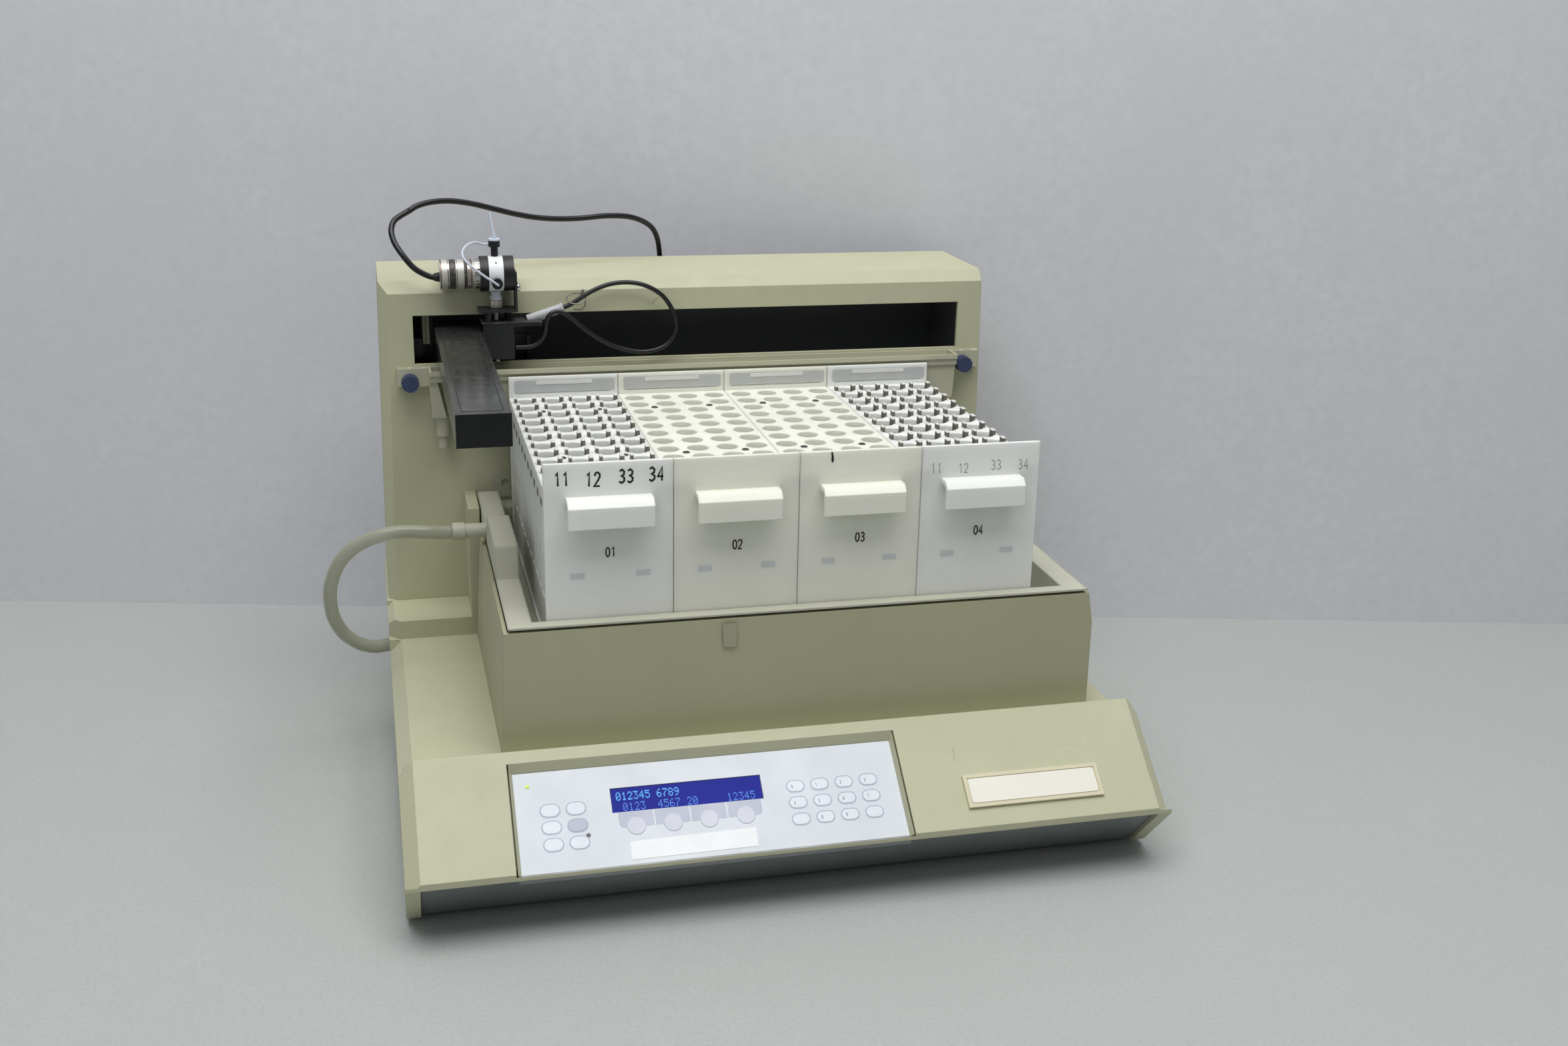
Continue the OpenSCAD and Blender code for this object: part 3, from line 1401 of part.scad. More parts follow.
module rack_bars(i) {
    bar_x = well_pitch_x - well_d;
    bar_y = well_pitch_y - well_d;
    y1 = rack_plate;
    y2 = rack_d - rack_plate;
    row_z2 = rack_h - grid_drop - grid_t;
    row_z1 = row_z2 - row_bar_h;
    col_z2 = row_z1 - bar_joint;
    color([0.88, 0.88, 0.85]) at_rack(i) {
        for (r = [0 : well_rows]) {
            y = well_y0 + (r - 0.5) * well_pitch_y;
            low_y = max(y - bar_y / 2, y1);
            high_y = min(y + bar_y / 2, y2);
            block([0, low_y, row_z1], [rack_w, high_y, row_z2]);
        }
        for (c = [1 : well_cols - 1]) {
            x = well_x0 + (c - 0.5) * well_pitch_x;
            block([x - bar_x / 2, y1, col_z2 - col_bar_h], [x + bar_x / 2, y2, col_z2]);
            block([x - bar_x / 2, y1, guide_z], [x + bar_x / 2, y2, guide_z + guide_h]);
        }
        // closed sides, scalloped along the outer wells
        side_wall(col_z2);
        translate([rack_w, 0, 0]) mirror([1, 0, 0]) side_wall(col_z2);
    }
}

module rack_1_shell() {
    rack_shell(0);
}

module rack_1_grid() {
    rack_grid(0);
}

module rack_1_bars() {
    rack_bars(0);
}

module rack_2_shell() {
    rack_shell(1);
}

module rack_2_grid() {
    rack_grid(1);
}

module rack_2_bars() {
    rack_bars(1);
}

module rack_3_shell() {
    rack_shell(2);
}

module rack_3_grid() {
    rack_grid(2);
}

module rack_3_bars() {
    rack_bars(2);
}

module rack_4_shell() {
    rack_shell(3);
}

module rack_4_grid() {
    rack_grid(3);
}

module rack_4_bars() {
    rack_bars(3);
}

// ---------------------------------------------------------------- assembly

chassis_pan();
rubber_feet();
base_cover();
keypad_overlay();
display_module();
name_plate();
tub_surround();
drip_tray();
drain_fittings();
drain_hose();
tower_cover();
tower_back_panel();
tower_frame();
x_rails();
x_motor();
x_belt();
drain_trough();
port_plate();
power_inlet();
power_supply();
main_board();
housing_screws();
trough_knob_left();
trough_knob_right();
power_switch();
x_drive_pulley();
x_idler_pulley();
x_carriage();
arm_beam();
arm_lid();
arm_end_cap();
arm_rod();
y_motor();
y_belt();
y_drive_pulley();
y_idler_pulley();
head_block();
head_bracket();
valve_body();
valve_caps();
valve_coil();
tube_fittings();
drop_nozzle();
bypass_tube();
sensor_cable();
cable_sleeve();
valve_cable_head();
valve_cable_rear();
rack_1_shell();
rack_1_grid();
rack_1_bars();
rack_2_shell();
rack_2_grid();
rack_2_bars();
rack_3_shell();
rack_3_grid();
rack_3_bars();
rack_4_shell();
rack_4_grid();
rack_4_bars();
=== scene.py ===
import math
import random

import bmesh
import bpy
from mathutils import Matrix, Vector


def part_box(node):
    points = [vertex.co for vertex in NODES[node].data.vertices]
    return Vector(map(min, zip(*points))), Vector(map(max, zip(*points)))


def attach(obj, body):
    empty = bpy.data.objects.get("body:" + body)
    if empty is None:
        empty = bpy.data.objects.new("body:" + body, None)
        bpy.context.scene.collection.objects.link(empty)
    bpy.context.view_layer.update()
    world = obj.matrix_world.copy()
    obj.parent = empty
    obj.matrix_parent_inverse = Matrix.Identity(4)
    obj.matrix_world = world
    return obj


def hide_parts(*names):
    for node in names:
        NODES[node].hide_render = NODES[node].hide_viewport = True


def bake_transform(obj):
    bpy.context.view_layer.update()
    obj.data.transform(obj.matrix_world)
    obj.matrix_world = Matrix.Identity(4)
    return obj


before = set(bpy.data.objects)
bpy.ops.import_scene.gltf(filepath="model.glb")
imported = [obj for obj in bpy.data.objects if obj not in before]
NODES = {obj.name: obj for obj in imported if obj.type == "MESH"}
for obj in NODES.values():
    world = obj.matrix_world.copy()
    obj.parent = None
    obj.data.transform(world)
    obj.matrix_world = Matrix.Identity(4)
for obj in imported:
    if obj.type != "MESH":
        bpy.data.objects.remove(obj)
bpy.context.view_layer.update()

# The device's own axes: millimetres, x from the base's left side, y from its front lip, z from its
# underside
ORIGIN = Vector(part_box("base_cover")[0])


def place(x, y, z):
    """A device place in metres of the shared frame."""
    return ORIGIN + Vector((x, y, z)) / 1000


# ------------------------------------------------------------------ materials


def srgb(r, g, b):
    """Linear colour from 0 to 255 display values."""
    def lin(c):
        c /= 255
        return c / 12.92 if c <= 0.04045 else ((c + 0.055) / 1.055) ** 2.4
    return (lin(r), lin(g), lin(b), 1)


def shaded(colour, k):
    """The colour k times as bright."""
    return tuple(min(1, c * k) for c in colour[:3]) + (1,)


# colour sockets of a Mix node
MIX_A, MIX_B, MIX_RESULT = 6, 7, 2


class Finish:
    """A procedural material: a Principled shader with noise-driven colour, roughness and bump."""

    def __init__(self, name, colour, rough=0.5, **sockets):
        self.mat = bpy.data.materials.new(name)
        self.mat.use_nodes = True
        self.tree = self.mat.node_tree
        self.bsdf = self.tree.nodes["Principled BSDF"]
        self.colour = colour
        self.bsdf.inputs["Base Color"].default_value = colour
        self.bsdf.inputs["Roughness"].default_value = rough
        for key, value in sockets.items():
            self.bsdf.inputs[key.replace("_", " ")].default_value = value
        self.coords = self.node("ShaderNodeTexCoord").outputs["Object"]
        self.last_colour = None
        self.last_normal = None

    def soft_edges(self, radius):
        """Rounds the look of sharp edges by so many millimetres."""
        bevel = self.node("ShaderNodeBevel", samples=4)
        bevel.inputs["Radius"].default_value = radius / 1000
        return self.normal(bevel.outputs["Normal"])

    def normal(self, source):
        self.last_normal = source
        self.link(source, self.bsdf.inputs["Normal"])
        return self

    def milky(self, weight, depth):
        """Light spreads under the surface, about depth metres far."""
        for key, value in (("Weight", weight), ("Radius", (1, 1, 0.95)), ("Scale", depth)):
            self.bsdf.inputs["Subsurface " + key].default_value = value
        return self

    def node(self, kind, **props):
        n = self.tree.nodes.new(kind)
        for key, value in props.items():
            setattr(n, key, value)
        return n

    def link(self, a, b):
        self.tree.links.new(a, b)

    def noise(self, scale, detail=3, rough=0.55, stretch=None):
        where = self.coords
        if stretch:
            m = self.node("ShaderNodeMapping")
            m.inputs["Scale"].default_value = stretch
            self.link(where, m.inputs["Vector"])
            where = m.outputs["Vector"]
        n = self.node("ShaderNodeTexNoise")
        n.inputs["Scale"].default_value = scale
        n.inputs["Detail"].default_value = detail
        n.inputs["Roughness"].default_value = rough
        self.link(where, n.inputs["Vector"])
        return n.outputs["Fac"]

    def ramp(self, fac, low, high, a=0.0, b=1.0):
        r = self.node("ShaderNodeMapRange")
        r.inputs["From Min"].default_value = low
        r.inputs["From Max"].default_value = high
        r.inputs["To Min"].default_value = a
        r.inputs["To Max"].default_value = b
        self.link(fac, r.inputs["Value"])
        return r.outputs["Result"]

    def tint(self, fac, colour):
        """Mixes a colour over what is there, by a mask."""
        mix = self.node("ShaderNodeMix", data_type="RGBA")
        if self.last_colour is None:
            mix.inputs[MIX_A].default_value = self.colour
        else:
            self.link(self.last_colour, mix.inputs[MIX_A])
        mix.inputs[MIX_B].default_value = colour
        self.link(fac, mix.inputs["Factor"])
        self.last_colour = mix.outputs[MIX_RESULT]
        self.link(self.last_colour, self.bsdf.inputs["Base Color"])
        return self

    def blotch(self, scale, k, low=0.35, high=0.7, **kw):
        """Patches k times as bright."""
        return self.tint(self.ramp(self.noise(scale, **kw), low, high), shaded(self.colour, k))

    def bump(self, scale, depth):
        """Fine relief, so many millimetres deep."""
        relief = self.node("ShaderNodeBump")
        relief.inputs["Strength"].default_value = 1
        relief.inputs["Distance"].default_value = depth / 1000
        self.link(self.noise(scale, detail=2), relief.inputs["Height"])
        if self.last_normal is not None:
            self.link(self.last_normal, relief.inputs["Normal"])
        return self.normal(relief.outputs["Normal"])

    def worn(self, scale, a, b, **kw):
        """Roughness that wanders between a and b."""
        self.link(self.ramp(self.noise(scale, **kw), 0.3, 0.7, a, b), self.bsdf.inputs["Roughness"])
        return self

    def above(self, z, colour):
        """Another colour over device height z."""
        split = self.node("ShaderNodeSeparateXYZ")
        self.link(self.coords, split.inputs["Vector"])
        level, blur = place(0, 0, z).z, 0.0002
        return self.tint(self.ramp(split.outputs["Z"], level - blur, level + blur), colour)

    def dust_and_sheen(self, colour, amount, scale):
        """Dust on what faces up, and on the black arm also a painted sheen that lightens its top.
        """
        split = self.node("ShaderNodeSeparateXYZ")
        texture = self.node("ShaderNodeTexCoord")
        self.link(texture.outputs["Normal"], split.inputs["Vector"])
        up = self.ramp(split.outputs["Z"], 0.5, 0.95)
        grain = self.ramp(self.noise(scale, detail=5, rough=0.7), 0.4, 0.75, 0, amount)
        both = self.node("ShaderNodeMath", operation="MULTIPLY")
        self.link(up, both.inputs[0])
        self.link(grain, both.inputs[1])
        return self.tint(both.outputs[0], colour)


def moulded(name, colour, rough=0.55, grain=0.05, scale=1400, edge=0.0):
    """Moulded plastic: fine relief, faint patches and uneven gloss."""
    f = Finish(name, colour, rough)
    if edge:
        f.soft_edges(edge)
    f.blotch(9, 0.93, 0.35, 0.75)
    f.blotch(90, 0.96, 0.45, 0.7, detail=5)
    f.worn(40, rough - 0.08, rough + 0.1, detail=4)
    return f.bump(scale, grain)


BEIGE = moulded("beige_plastic", srgb(190, 190, 160), edge=0.7)
GRIME = BEIGE.ramp(BEIGE.noise(25, detail=6, rough=0.7), 0.66, 0.8, 0, 0.5)
BEIGE.tint(GRIME, srgb(172, 170, 138))
TUB = moulded("beige_tub", srgb(176, 175, 144), 0.6, 0.09, 900, 0.7)
TRAY = moulded("tray_plastic", srgb(192, 192, 174), 0.6, 0.3, 420, 2.5)
TRAY.bump(1500, 0.06)
TROUGH = moulded("trough_plastic", srgb(184, 183, 160), 0.5, 0.04, 1500, 0.4)
FITTING = moulded("fitting_plastic", srgb(184, 184, 164), 0.45, 0.04, 1300)
GREY = moulded("grey_paint", srgb(112, 116, 118), 0.5, 0.04, 1700)
SILVER = Finish("silver_paint", srgb(136, 140, 141), 0.4, Metallic=0.3)
SILVER.blotch(14, 0.86, 0.3, 0.7).worn(60, 0.3, 0.5).bump(1600, 0.03)
STEEL = Finish("steel", srgb(190, 190, 194), 0.28, Metallic=1.0)
STEEL.worn(200, 0.18, 0.4, stretch=(0.05, 1, 1)).blotch(50, 0.85)
NICKEL = Finish("nickel", srgb(208, 206, 198), 0.45, Metallic=0.45)
NICKEL.blotch(120, 0.75, 0.4, 0.8, detail=5).worn(150, 0.34, 0.52).bump(700, 0.02)
ALUMINIUM = Finish("aluminium", srgb(196, 198, 202), 0.4, Metallic=1.0)
ALUMINIUM.worn(120, 0.3, 0.5).bump(900, 0.02)
BLACK = moulded("black_plastic", srgb(22, 23, 25), 0.42, 0.03, 1500)
BLACK.dust_and_sheen(srgb(120, 118, 112), 0.25, 300)
FITTINGS = moulded("black_fittings", srgb(24, 25, 27), 0.35, 0.03, 1500)
FITTINGS.above(343.3, srgb(214, 224, 238))
BLACK_METAL = moulded("black_metal", srgb(33, 34, 37), 0.4, 0.03, 1300)
ARM = Finish("black_anodised", srgb(8, 9, 11), 0.2, Specular_IOR_Level=0.38)
ARM.soft_edges(0.5).blotch(60, 1.6, 0.45, 0.7, detail=6).worn(70, 0.13, 0.24, detail=6)
ARM.bump(1200, 0.005)
# partly real dust, partly a painted sheen that lightens the arm's top
ARM.dust_and_sheen(srgb(130, 130, 126), 0.04, 45)
ARM.dust_and_sheen(srgb(190, 190, 186), 0.16, 900)
RUBBER = moulded("black_rubber", srgb(24, 25, 26), 0.6, 0.05, 900)
SHEATH = moulded("black_sheath", srgb(17, 18, 19), 0.32, 0.04, 700)
BLUE = moulded("blue_plastic", srgb(50, 62, 95), 0.45, 0.04, 1400)
WHITE = moulded("white_plastic", srgb(234, 236, 238), 0.3, 0.02, 1200)
CREAM = moulded("cream_plate", srgb(214, 208, 178), 0.5, 0.03, 1500)
OVERLAY = moulded("membrane", srgb(214, 220, 226), 0.4, 0.02, 2200)
DISPLAY = Finish("display_glass", srgb(34, 44, 152), 0.6, Specular_IOR_Level=0.15)
DISPLAY.blotch(30, 0.8).bump(400, 0.005)
BOARD = moulded("circuit_board", srgb(30, 95, 55), 0.45, 0.05, 900)
SLEEVE = moulded("heat_shrink", srgb(178, 180, 181), 0.4, 0.25, 260)
MILK = moulded("milky_rack", srgb(240, 242, 236), 0.42, 0.03, 900, 0.9).milky(0.35, 0.01)
IVORY = moulded("ivory_rack", srgb(240, 241, 226), 0.42, 0.03, 900, 0.9).milky(0.35, 0.01)
MILK_BARS = moulded("milky_bars", srgb(226, 228, 222), 0.45, 0.03, 900).milky(0.15, 0.003)
IVORY_BARS = moulded("ivory_bars", srgb(226, 226, 210), 0.45, 0.03, 900).milky(0.15, 0.003)
HOSE = moulded("clear_hose", srgb(206, 208, 190), 0.16, 0.03, 300)
HOSE.bsdf.inputs["Transmission Weight"].default_value = 0.6
HOSE.bsdf.inputs["IOR"].default_value = 1.4
TUBE = Finish("clear_tube", srgb(218, 226, 238), 0.25, Transmission_Weight=0.12, IOR=1.38)
TUBE.blotch(300, 0.9).bump(500, 0.02)


def dress(finish, *names):
    """Gives the solids of these names one material."""
    for name in names:
        slots = NODES[name].data.materials
        slots.clear()
        slots.append(finish.mat)


dress(BEIGE, "base_cover", "tower_cover")
dress(TUB, "tub_surround")
dress(TRAY, "drip_tray")
dress(TROUGH, "drain_trough")
dress(FITTING, "drain_fittings", "port_plate")
dress(SILVER, "chassis_pan", "power_supply")
dress(GREY, "tower_back_panel", "tower_frame")
dress(STEEL, "x_rails", "arm_rod", "housing_screws")
dress(ALUMINIUM, "x_drive_pulley", "x_idler_pulley", "y_drive_pulley", "y_idler_pulley")
dress(BLACK_METAL, "x_carriage", "x_motor", "y_motor", "head_bracket")
dress(ARM, "arm_beam", "arm_lid", "arm_end_cap")
dress(BLACK, "head_block", "valve_caps", "power_inlet", "power_switch")
dress(FITTINGS, "tube_fittings")
dress(RUBBER, "rubber_feet", "x_belt", "y_belt")
dress(BLUE, "trough_knob_left", "trough_knob_right")
dress(WHITE, "valve_body", "drop_nozzle")
dress(CREAM, "name_plate")
dress(OVERLAY, "keypad_overlay")
dress(DISPLAY, "display_module")
dress(BOARD, "main_board")
dress(NICKEL, "valve_coil")
dress(SLEEVE, "cable_sleeve")
RACK_FINISHES = ((MILK, MILK_BARS), (IVORY, IVORY_BARS), (IVORY, IVORY_BARS), (MILK, MILK_BARS))
for n, (outside, inside) in enumerate(RACK_FINISHES, 1):
    dress(outside, f"rack_{n}_shell", f"rack_{n}_grid")
    dress(inside, f"rack_{n}_bars")

# ------------------------------------------------------------------ cords


def smooth_route(points, steps=6):
    """Catmull-Rom curve through the points."""
    p = [Vector(q) for q in points]
    p = [p[0] * 2 - p[1]] + p + [p[-1] * 2 - p[-2]]
    out = []
    for a, b, c, d in zip(p, p[1:], p[2:], p[3:]):
        for k in range(steps):
            t = k / steps
            out.append(0.5 * (2 * b + (c - a) * t + (2 * a - 5 * b + 4 * c - d) * t * t
                              + (3 * b - a - 3 * c + d) * t ** 3))
    return out + [p[-2]]


def swept_rings(path, radius, sides):
    """Rings across a path. The radius is a function of the share of the way."""
    rings = []
    normal = None
    for i, q in enumerate(path):
        t = (path[min(i + 1, len(path) - 1)] - path[max(i - 1, 0)]).normalized()
        normal = t.orthogonal() if normal is None else normal
        normal = (normal - normal.dot(t) * t).normalized()
        side = t.cross(normal)
        r = radius(i / (len(path) - 1))
        rings.append([q + r * (math.cos(a) * normal + math.sin(a) * side)
                      for a in (2 * math.pi * k / sides for k in range(sides))])
    return rings


def new_object(name, mesh, finish):
    """Puts a mesh of one material into the scene."""
    mesh.materials.append(finish.mat)
    o = bpy.data.objects.new(name, mesh)
    bpy.context.collection.objects.link(o)
    return o


def tube_mesh(name, path, radius, sides=16):
    """A closed tube along a path in metres."""
    bm = bmesh.new()
    rings = [[bm.verts.new(q) for q in ring] for ring in swept_rings(path, lambda t: radius, sides)]
    for a, b in zip(rings, rings[1:]):
        for k in range(sides):
            n = (k + 1) % sides
            bm.faces.new((a[k], a[n], b[n], b[k]))
    bm.faces.new(reversed(rings[0]))
    bm.faces.new(rings[-1])
    mesh = bpy.data.meshes.new(name)
    bm.to_mesh(mesh)
    bm.free()
    for face in mesh.polygons:
        face.use_smooth = len(face.vertices) == 4
    return mesh


def free_cord(name, node, route, diameter, finish):
    """A cord along a route in device millimetres, in the place of its solid."""
    points = [place(*q) for q in smooth_route(route)]
    o = new_object(name, tube_mesh(name, points, diameter / 2000), finish)
    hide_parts(node)
    return o


hose = free_cord("hose", "drain_hose", [
    (44.4, 240, 162.9), (37, 240, 162.9), (28, 240, 163.8), (11, 241, 164.5), (-6, 243, 161),
    (-20, 247, 153), (-30, 252, 141), (-36, 258, 125), (-37.5, 264, 111), (-36, 270, 96),
    (-30, 277, 81), (-20, 284, 70), (-11, 290.5, 64.5), (-4, 296, 62.5), (1, 299, 62),
    (4.8, 299, 62)], 9.2, HOSE)
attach(hose, "housing")
valve_lead = free_cord("valve_lead", "valve_cable_head", [
    (46.7, 319.5, 319), (42, 319.5, 319), (36, 319, 321.5), (29.5, 319, 326), (23, 321, 334),
    (18, 326, 342), (16.5, 331, 349), (18.5, 336, 354.5), (23, 339.4, 357.6), (29, 343, 360.5)],
    4, SHEATH)
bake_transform(valve_lead)
rear_lead = free_cord("rear_lead", "valve_cable_rear", [
    (29, 343, 360.5), (35, 346.6, 363.4), (44, 351, 365.2), (57, 357, 365.2), (72, 363, 362.5),
    (88, 368, 358), (103.5, 373, 353.5), (119.5, 378, 350), (136, 383, 348.2),
    (153, 388, 347.8), (170, 393, 348.5), (187, 400, 347), (199, 407, 343), (208.5, 415, 336.5),
    (214, 422, 327), (216.5, 427, 315), (217, 428, 305), (217, 425, 298), (217, 418, 296)],
    4, SHEATH)
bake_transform(rear_lead)
sensor_lead = free_cord("sensor_lead", "sensor_cable", [
    (95, 312, 270.5), (102, 312, 270.5), (107.4, 311.8, 271.2), (112.2, 311.4, 274),
    (115.3, 311.1, 278.4), (116.6, 311, 283.5), (117.3, 311, 288.4), (119.3, 311, 292.2),
    (122.8, 311.1, 294.5), (127, 311.3, 294.4), (131.8, 311.6, 291.8), (137.4, 312, 287.3),
    (145, 313, 280.6), (157.5, 314.5, 272), (170, 316, 266.5), (182, 317, 263.6),
    (192, 317.6, 263.8), (201, 318, 266.8), (207, 318.4, 273), (209.5, 318.8, 281.5),
    (207, 319, 292), (200, 319.4, 302.5), (189, 319.8, 309.5), (177, 320, 312.3),
    (164, 320.2, 311.6), (152, 320.2, 307.6), (142.5, 320.2, 302.2), (136, 320.2, 298.2),
    (129.9, 320.2, 295.6)], 3.2, SHEATH)
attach(sensor_lead, "head")
bypass = free_cord("bypass", "bypass_tube", [
    (84.3, 301.1, 316.1), (84.3, 299, 316.1), (81.5, 297, 318.5), (75, 297, 323),
    (68, 298, 328.5), (63, 300, 333.2), (61.5, 303, 337.4), (64, 308, 341), (69, 314, 342.6),
    (73.5, 318.4, 341.8), (77, 319.5, 340.8), (80, 319.5, 340.8)], 1.6, TUBE)
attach(bypass, "head")

# ------------------------------------------------------------------ detail pieces

# printed marks and thin plates start this far inside the surface under them
SUNK = -0.02


def face_frame(y):
    """Axes of a wall that faces forward: the device's x, its z, and out of the wall."""
    return Matrix(((1, 0, 0, 0), (0, 0, -1, y), (0, 1, 0, 0), (0, 0, 0, 1)))


# axes of the sloping panel: along it, up it and out of it, from its lower edge
LIP_Z, SLOPE_RISE, SLOPE_RUN = 39.1, 47.9, 58.1
SLOPE = (Matrix.Translation((0, 0, LIP_Z))
         @ Matrix.Rotation(math.atan2(SLOPE_RISE, SLOPE_RUN), 4, "X"))


class Form:
    """A mesh in device millimetres, or in the millimetres of a panel's own axes."""

    def __init__(self, axes=None):
        self.bm = bmesh.new()
        self.axes = axes or Matrix()

    def vert(self, p):
        return self.bm.verts.new(place(*(self.axes @ Vector(p))))

    def loft(self, rings):
        """A closed skin through the rings."""
        rows = [[self.vert(p) for p in ring] for ring in rings]
        n = len(rows[0])
        for a, b in zip(rows, rows[1:]):
            for k in range(n):
                m = (k + 1) % n
                self.bm.faces.new((a[k], a[m], b[m], b[k]))
        self.bm.faces.new(rows[0])
        self.bm.faces.new(rows[-1])
        return self

    def box(self, low, high):
        (x, y, z), (u, v, w) = low, high
        return self.slab([(x, y), (u, y), (u, v), (x, v)], z, w)

    def slab(self, outline, low, high, shrink=0.0):
        """The outline between two levels, drawn in at the top."""
        c = sum((Vector(p) for p in outline), Vector((0, 0))) / len(outline)
        top = [c + (Vector(p) - c) * (1 - shrink) for p in outline]
        return self.loft([[(*p, low) for p in outline], [(*p, high) for p in top]])

    def lathe(self, start, direction, profile, sides, turn=0.0, lobes=0, lobe=0.0):
        """Turned about a direction. The profile lists how far along and the radius there."""
        d = Vector(direction).normalized()
        u = Vector((0, 0, 1)) if abs(d.z) < 0.9 else Vector((1, 0, 0))
        u = (u - u.dot(d) * d).normalized()
        v = d.cross(u)
        rings = []
        for along, r in profile:
            ring = []
            for k in range(sides):
                a = 2 * math.pi * k / sides + turn
                q = r * (1 + lobe * math.cos(lobes * a))
                ring.append(Vector(start) + along * d + q * (math.cos(a) * u + math.sin(a) * v))
            rings.append(ring)
        return self.loft(rings)

    def stroke(self, points, width, low, high):
        """A flat ribbon with mitred corners."""
        p = [Vector(q) for q in points]
        rings = []
        for i, q in enumerate(p):
            a = (q - p[i - 1]).normalized() if i else None
            b = (p[i + 1] - q).normalized() if i + 1 < len(p) else None
            t = ((a or b) + (b or a)).normalized()
            side = Vector((-t.y, t.x)) * width / 2 / max(0.6, t.dot(b or a))
            left, right = q + side, q - side
            rings.append([(*left, low), (*left, high), (*right, high), (*right, low)])
        return self.loft(rings)

    def wire(self, points, radius, sides=8):
        """A round wire through the points. The radius is a function of the share of the way."""
        return self.loft(swept_rings(smooth_route(points, 5), radius, sides))

    def done(self, name, finish, body="housing", slot=None, bevel=0.0, smooth=40):
        """Makes the piece. Edges under smooth degrees are shaded smooth."""
        bmesh.ops.recalc_face_normals(self.bm, faces=self.bm.faces)
        mesh = bpy.data.meshes.new(name)
        self.bm.to_mesh(mesh)
        self.bm.free()
        mesh.polygons.foreach_set("use_smooth", [True] * len(mesh.polygons))
        mesh.set_sharp_from_angle(angle=math.radians(smooth))
        o = new_object(name, mesh, finish)
        if bevel:
            m = o.modifiers.new("edges", "BEVEL")
            m.width = bevel / 1000
            m.segments = 3
            m.limit_method = "ANGLE"
            m.harden_normals = True
        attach(o, body)
        return o


def stadium(cx, cy, w, h, r=None, steps=7):
    """A rectangle's outline with round corners."""
    r = min(w, h) / 2 if r is None else r
    out = []
    for k, (sx, sy) in enumerate(((1, 1), (-1, 1), (-1, -1), (1, -1))):
        for j in range(steps):
            a = math.pi / 2 * (k + j / (steps - 1))
            out.append((cx + sx * (w / 2 - r) + r * math.cos(a),
                        cy + sy * (h / 2 - r) + r * math.sin(a)))
    return out


# one stroke for each digit, in a cell 1 wide and 1.6 high
CELL_HIGH = 1.6
DIGITS = {
    "0": [(0.5, 1.6), (0.12, 1.35), (0, 0.8), (0.12, 0.25), (0.5, 0), (0.88, 0.25), (1, 0.8),
          (0.88, 1.35), (0.5, 1.6)],
    "1": [(0.25, 1.25), (0.6, 1.6), (0.6, 0)],
    "2": [(0.02, 1.2), (0.2, 1.52), (0.55, 1.6), (0.92, 1.42), (0.95, 1.05), (0.6, 0.6), (0, 0),
          (1, 0)],
    "3": [(0.05, 1.4), (0.5, 1.6), (0.9, 1.35), (0.85, 1.0), (0.45, 0.85), (0.95, 0.6),
          (0.95, 0.25), (0.5, 0), (0, 0.2)],
    "4": [(0.75, 0), (0.75, 1.6), (0, 0.5), (1, 0.5)],
    "5": [(0.95, 1.6), (0.15, 1.6), (0.08, 0.9), (0.55, 1.0), (0.95, 0.7), (0.9, 0.25), (0.5, 0),
          (0, 0.15)],
    "6": [(0.85, 1.5), (0.5, 1.6), (0.1, 1.1), (0.02, 0.4), (0.3, 0.02), (0.75, 0.05),
          (0.97, 0.4), (0.75, 0.85), (0.3, 0.85), (0.03, 0.5)],
    "7": [(0, 1.6), (1, 1.6), (0.35, 0)],
    "8": [(0.5, 0.85), (0.1, 1.1), (0.12, 1.45), (0.5, 1.6), (0.88, 1.45), (0.9, 1.1), (0.5, 0.85),
          (0.02, 0.5), (0.1, 0.1), (0.5, 0), (0.9, 0.1), (0.98, 0.5), (0.5, 0.85)],
    "9": [(0.15, 0.1), (0.5, 0), (0.9, 0.5), (0.98, 1.2), (0.7, 1.58), (0.25, 1.55), (0.03, 1.2),
          (0.25, 0.75), (0.7, 0.75), (0.97, 1.1)],
}
# the same on a display: seven rows of five dots, each row as a binary number
DOTS = {
    "0": (14, 17, 19, 21, 25, 17, 14), "1": (4, 12, 4, 4, 4, 4, 14), "2": (14, 17, 1, 2, 4, 8, 31),
    "3": (31, 2, 4, 2, 1, 17, 14), "4": (2, 6, 10, 18, 31, 2, 2), "5": (31, 16, 30, 1, 1, 17, 14),
    "6": (6, 8, 16, 30, 17, 17, 14), "7": (31, 1, 2, 4, 8, 8, 8), "8": (14, 17, 17, 14, 17, 17, 14),
    "9": (14, 17, 17, 15, 1, 2, 12),
}
# a digit's width as a share of its cell's
DIGIT_WIDE = 0.62


def number(form, text, x, y, height, width, low, high, lean=0.0, gap=0.45):
    """Plain digits from the lower left corner x, y. The width is a stroke's, the gap is a share of
    a digit's width."""
    k = height / CELL_HIGH
    for c in text:
        form.stroke([(x + k * DIGIT_WIDE * u + lean * k * v, y + k * v) for u, v in DIGITS[c]],
                    width, low, high)
        x += k * DIGIT_WIDE * (1 + gap)


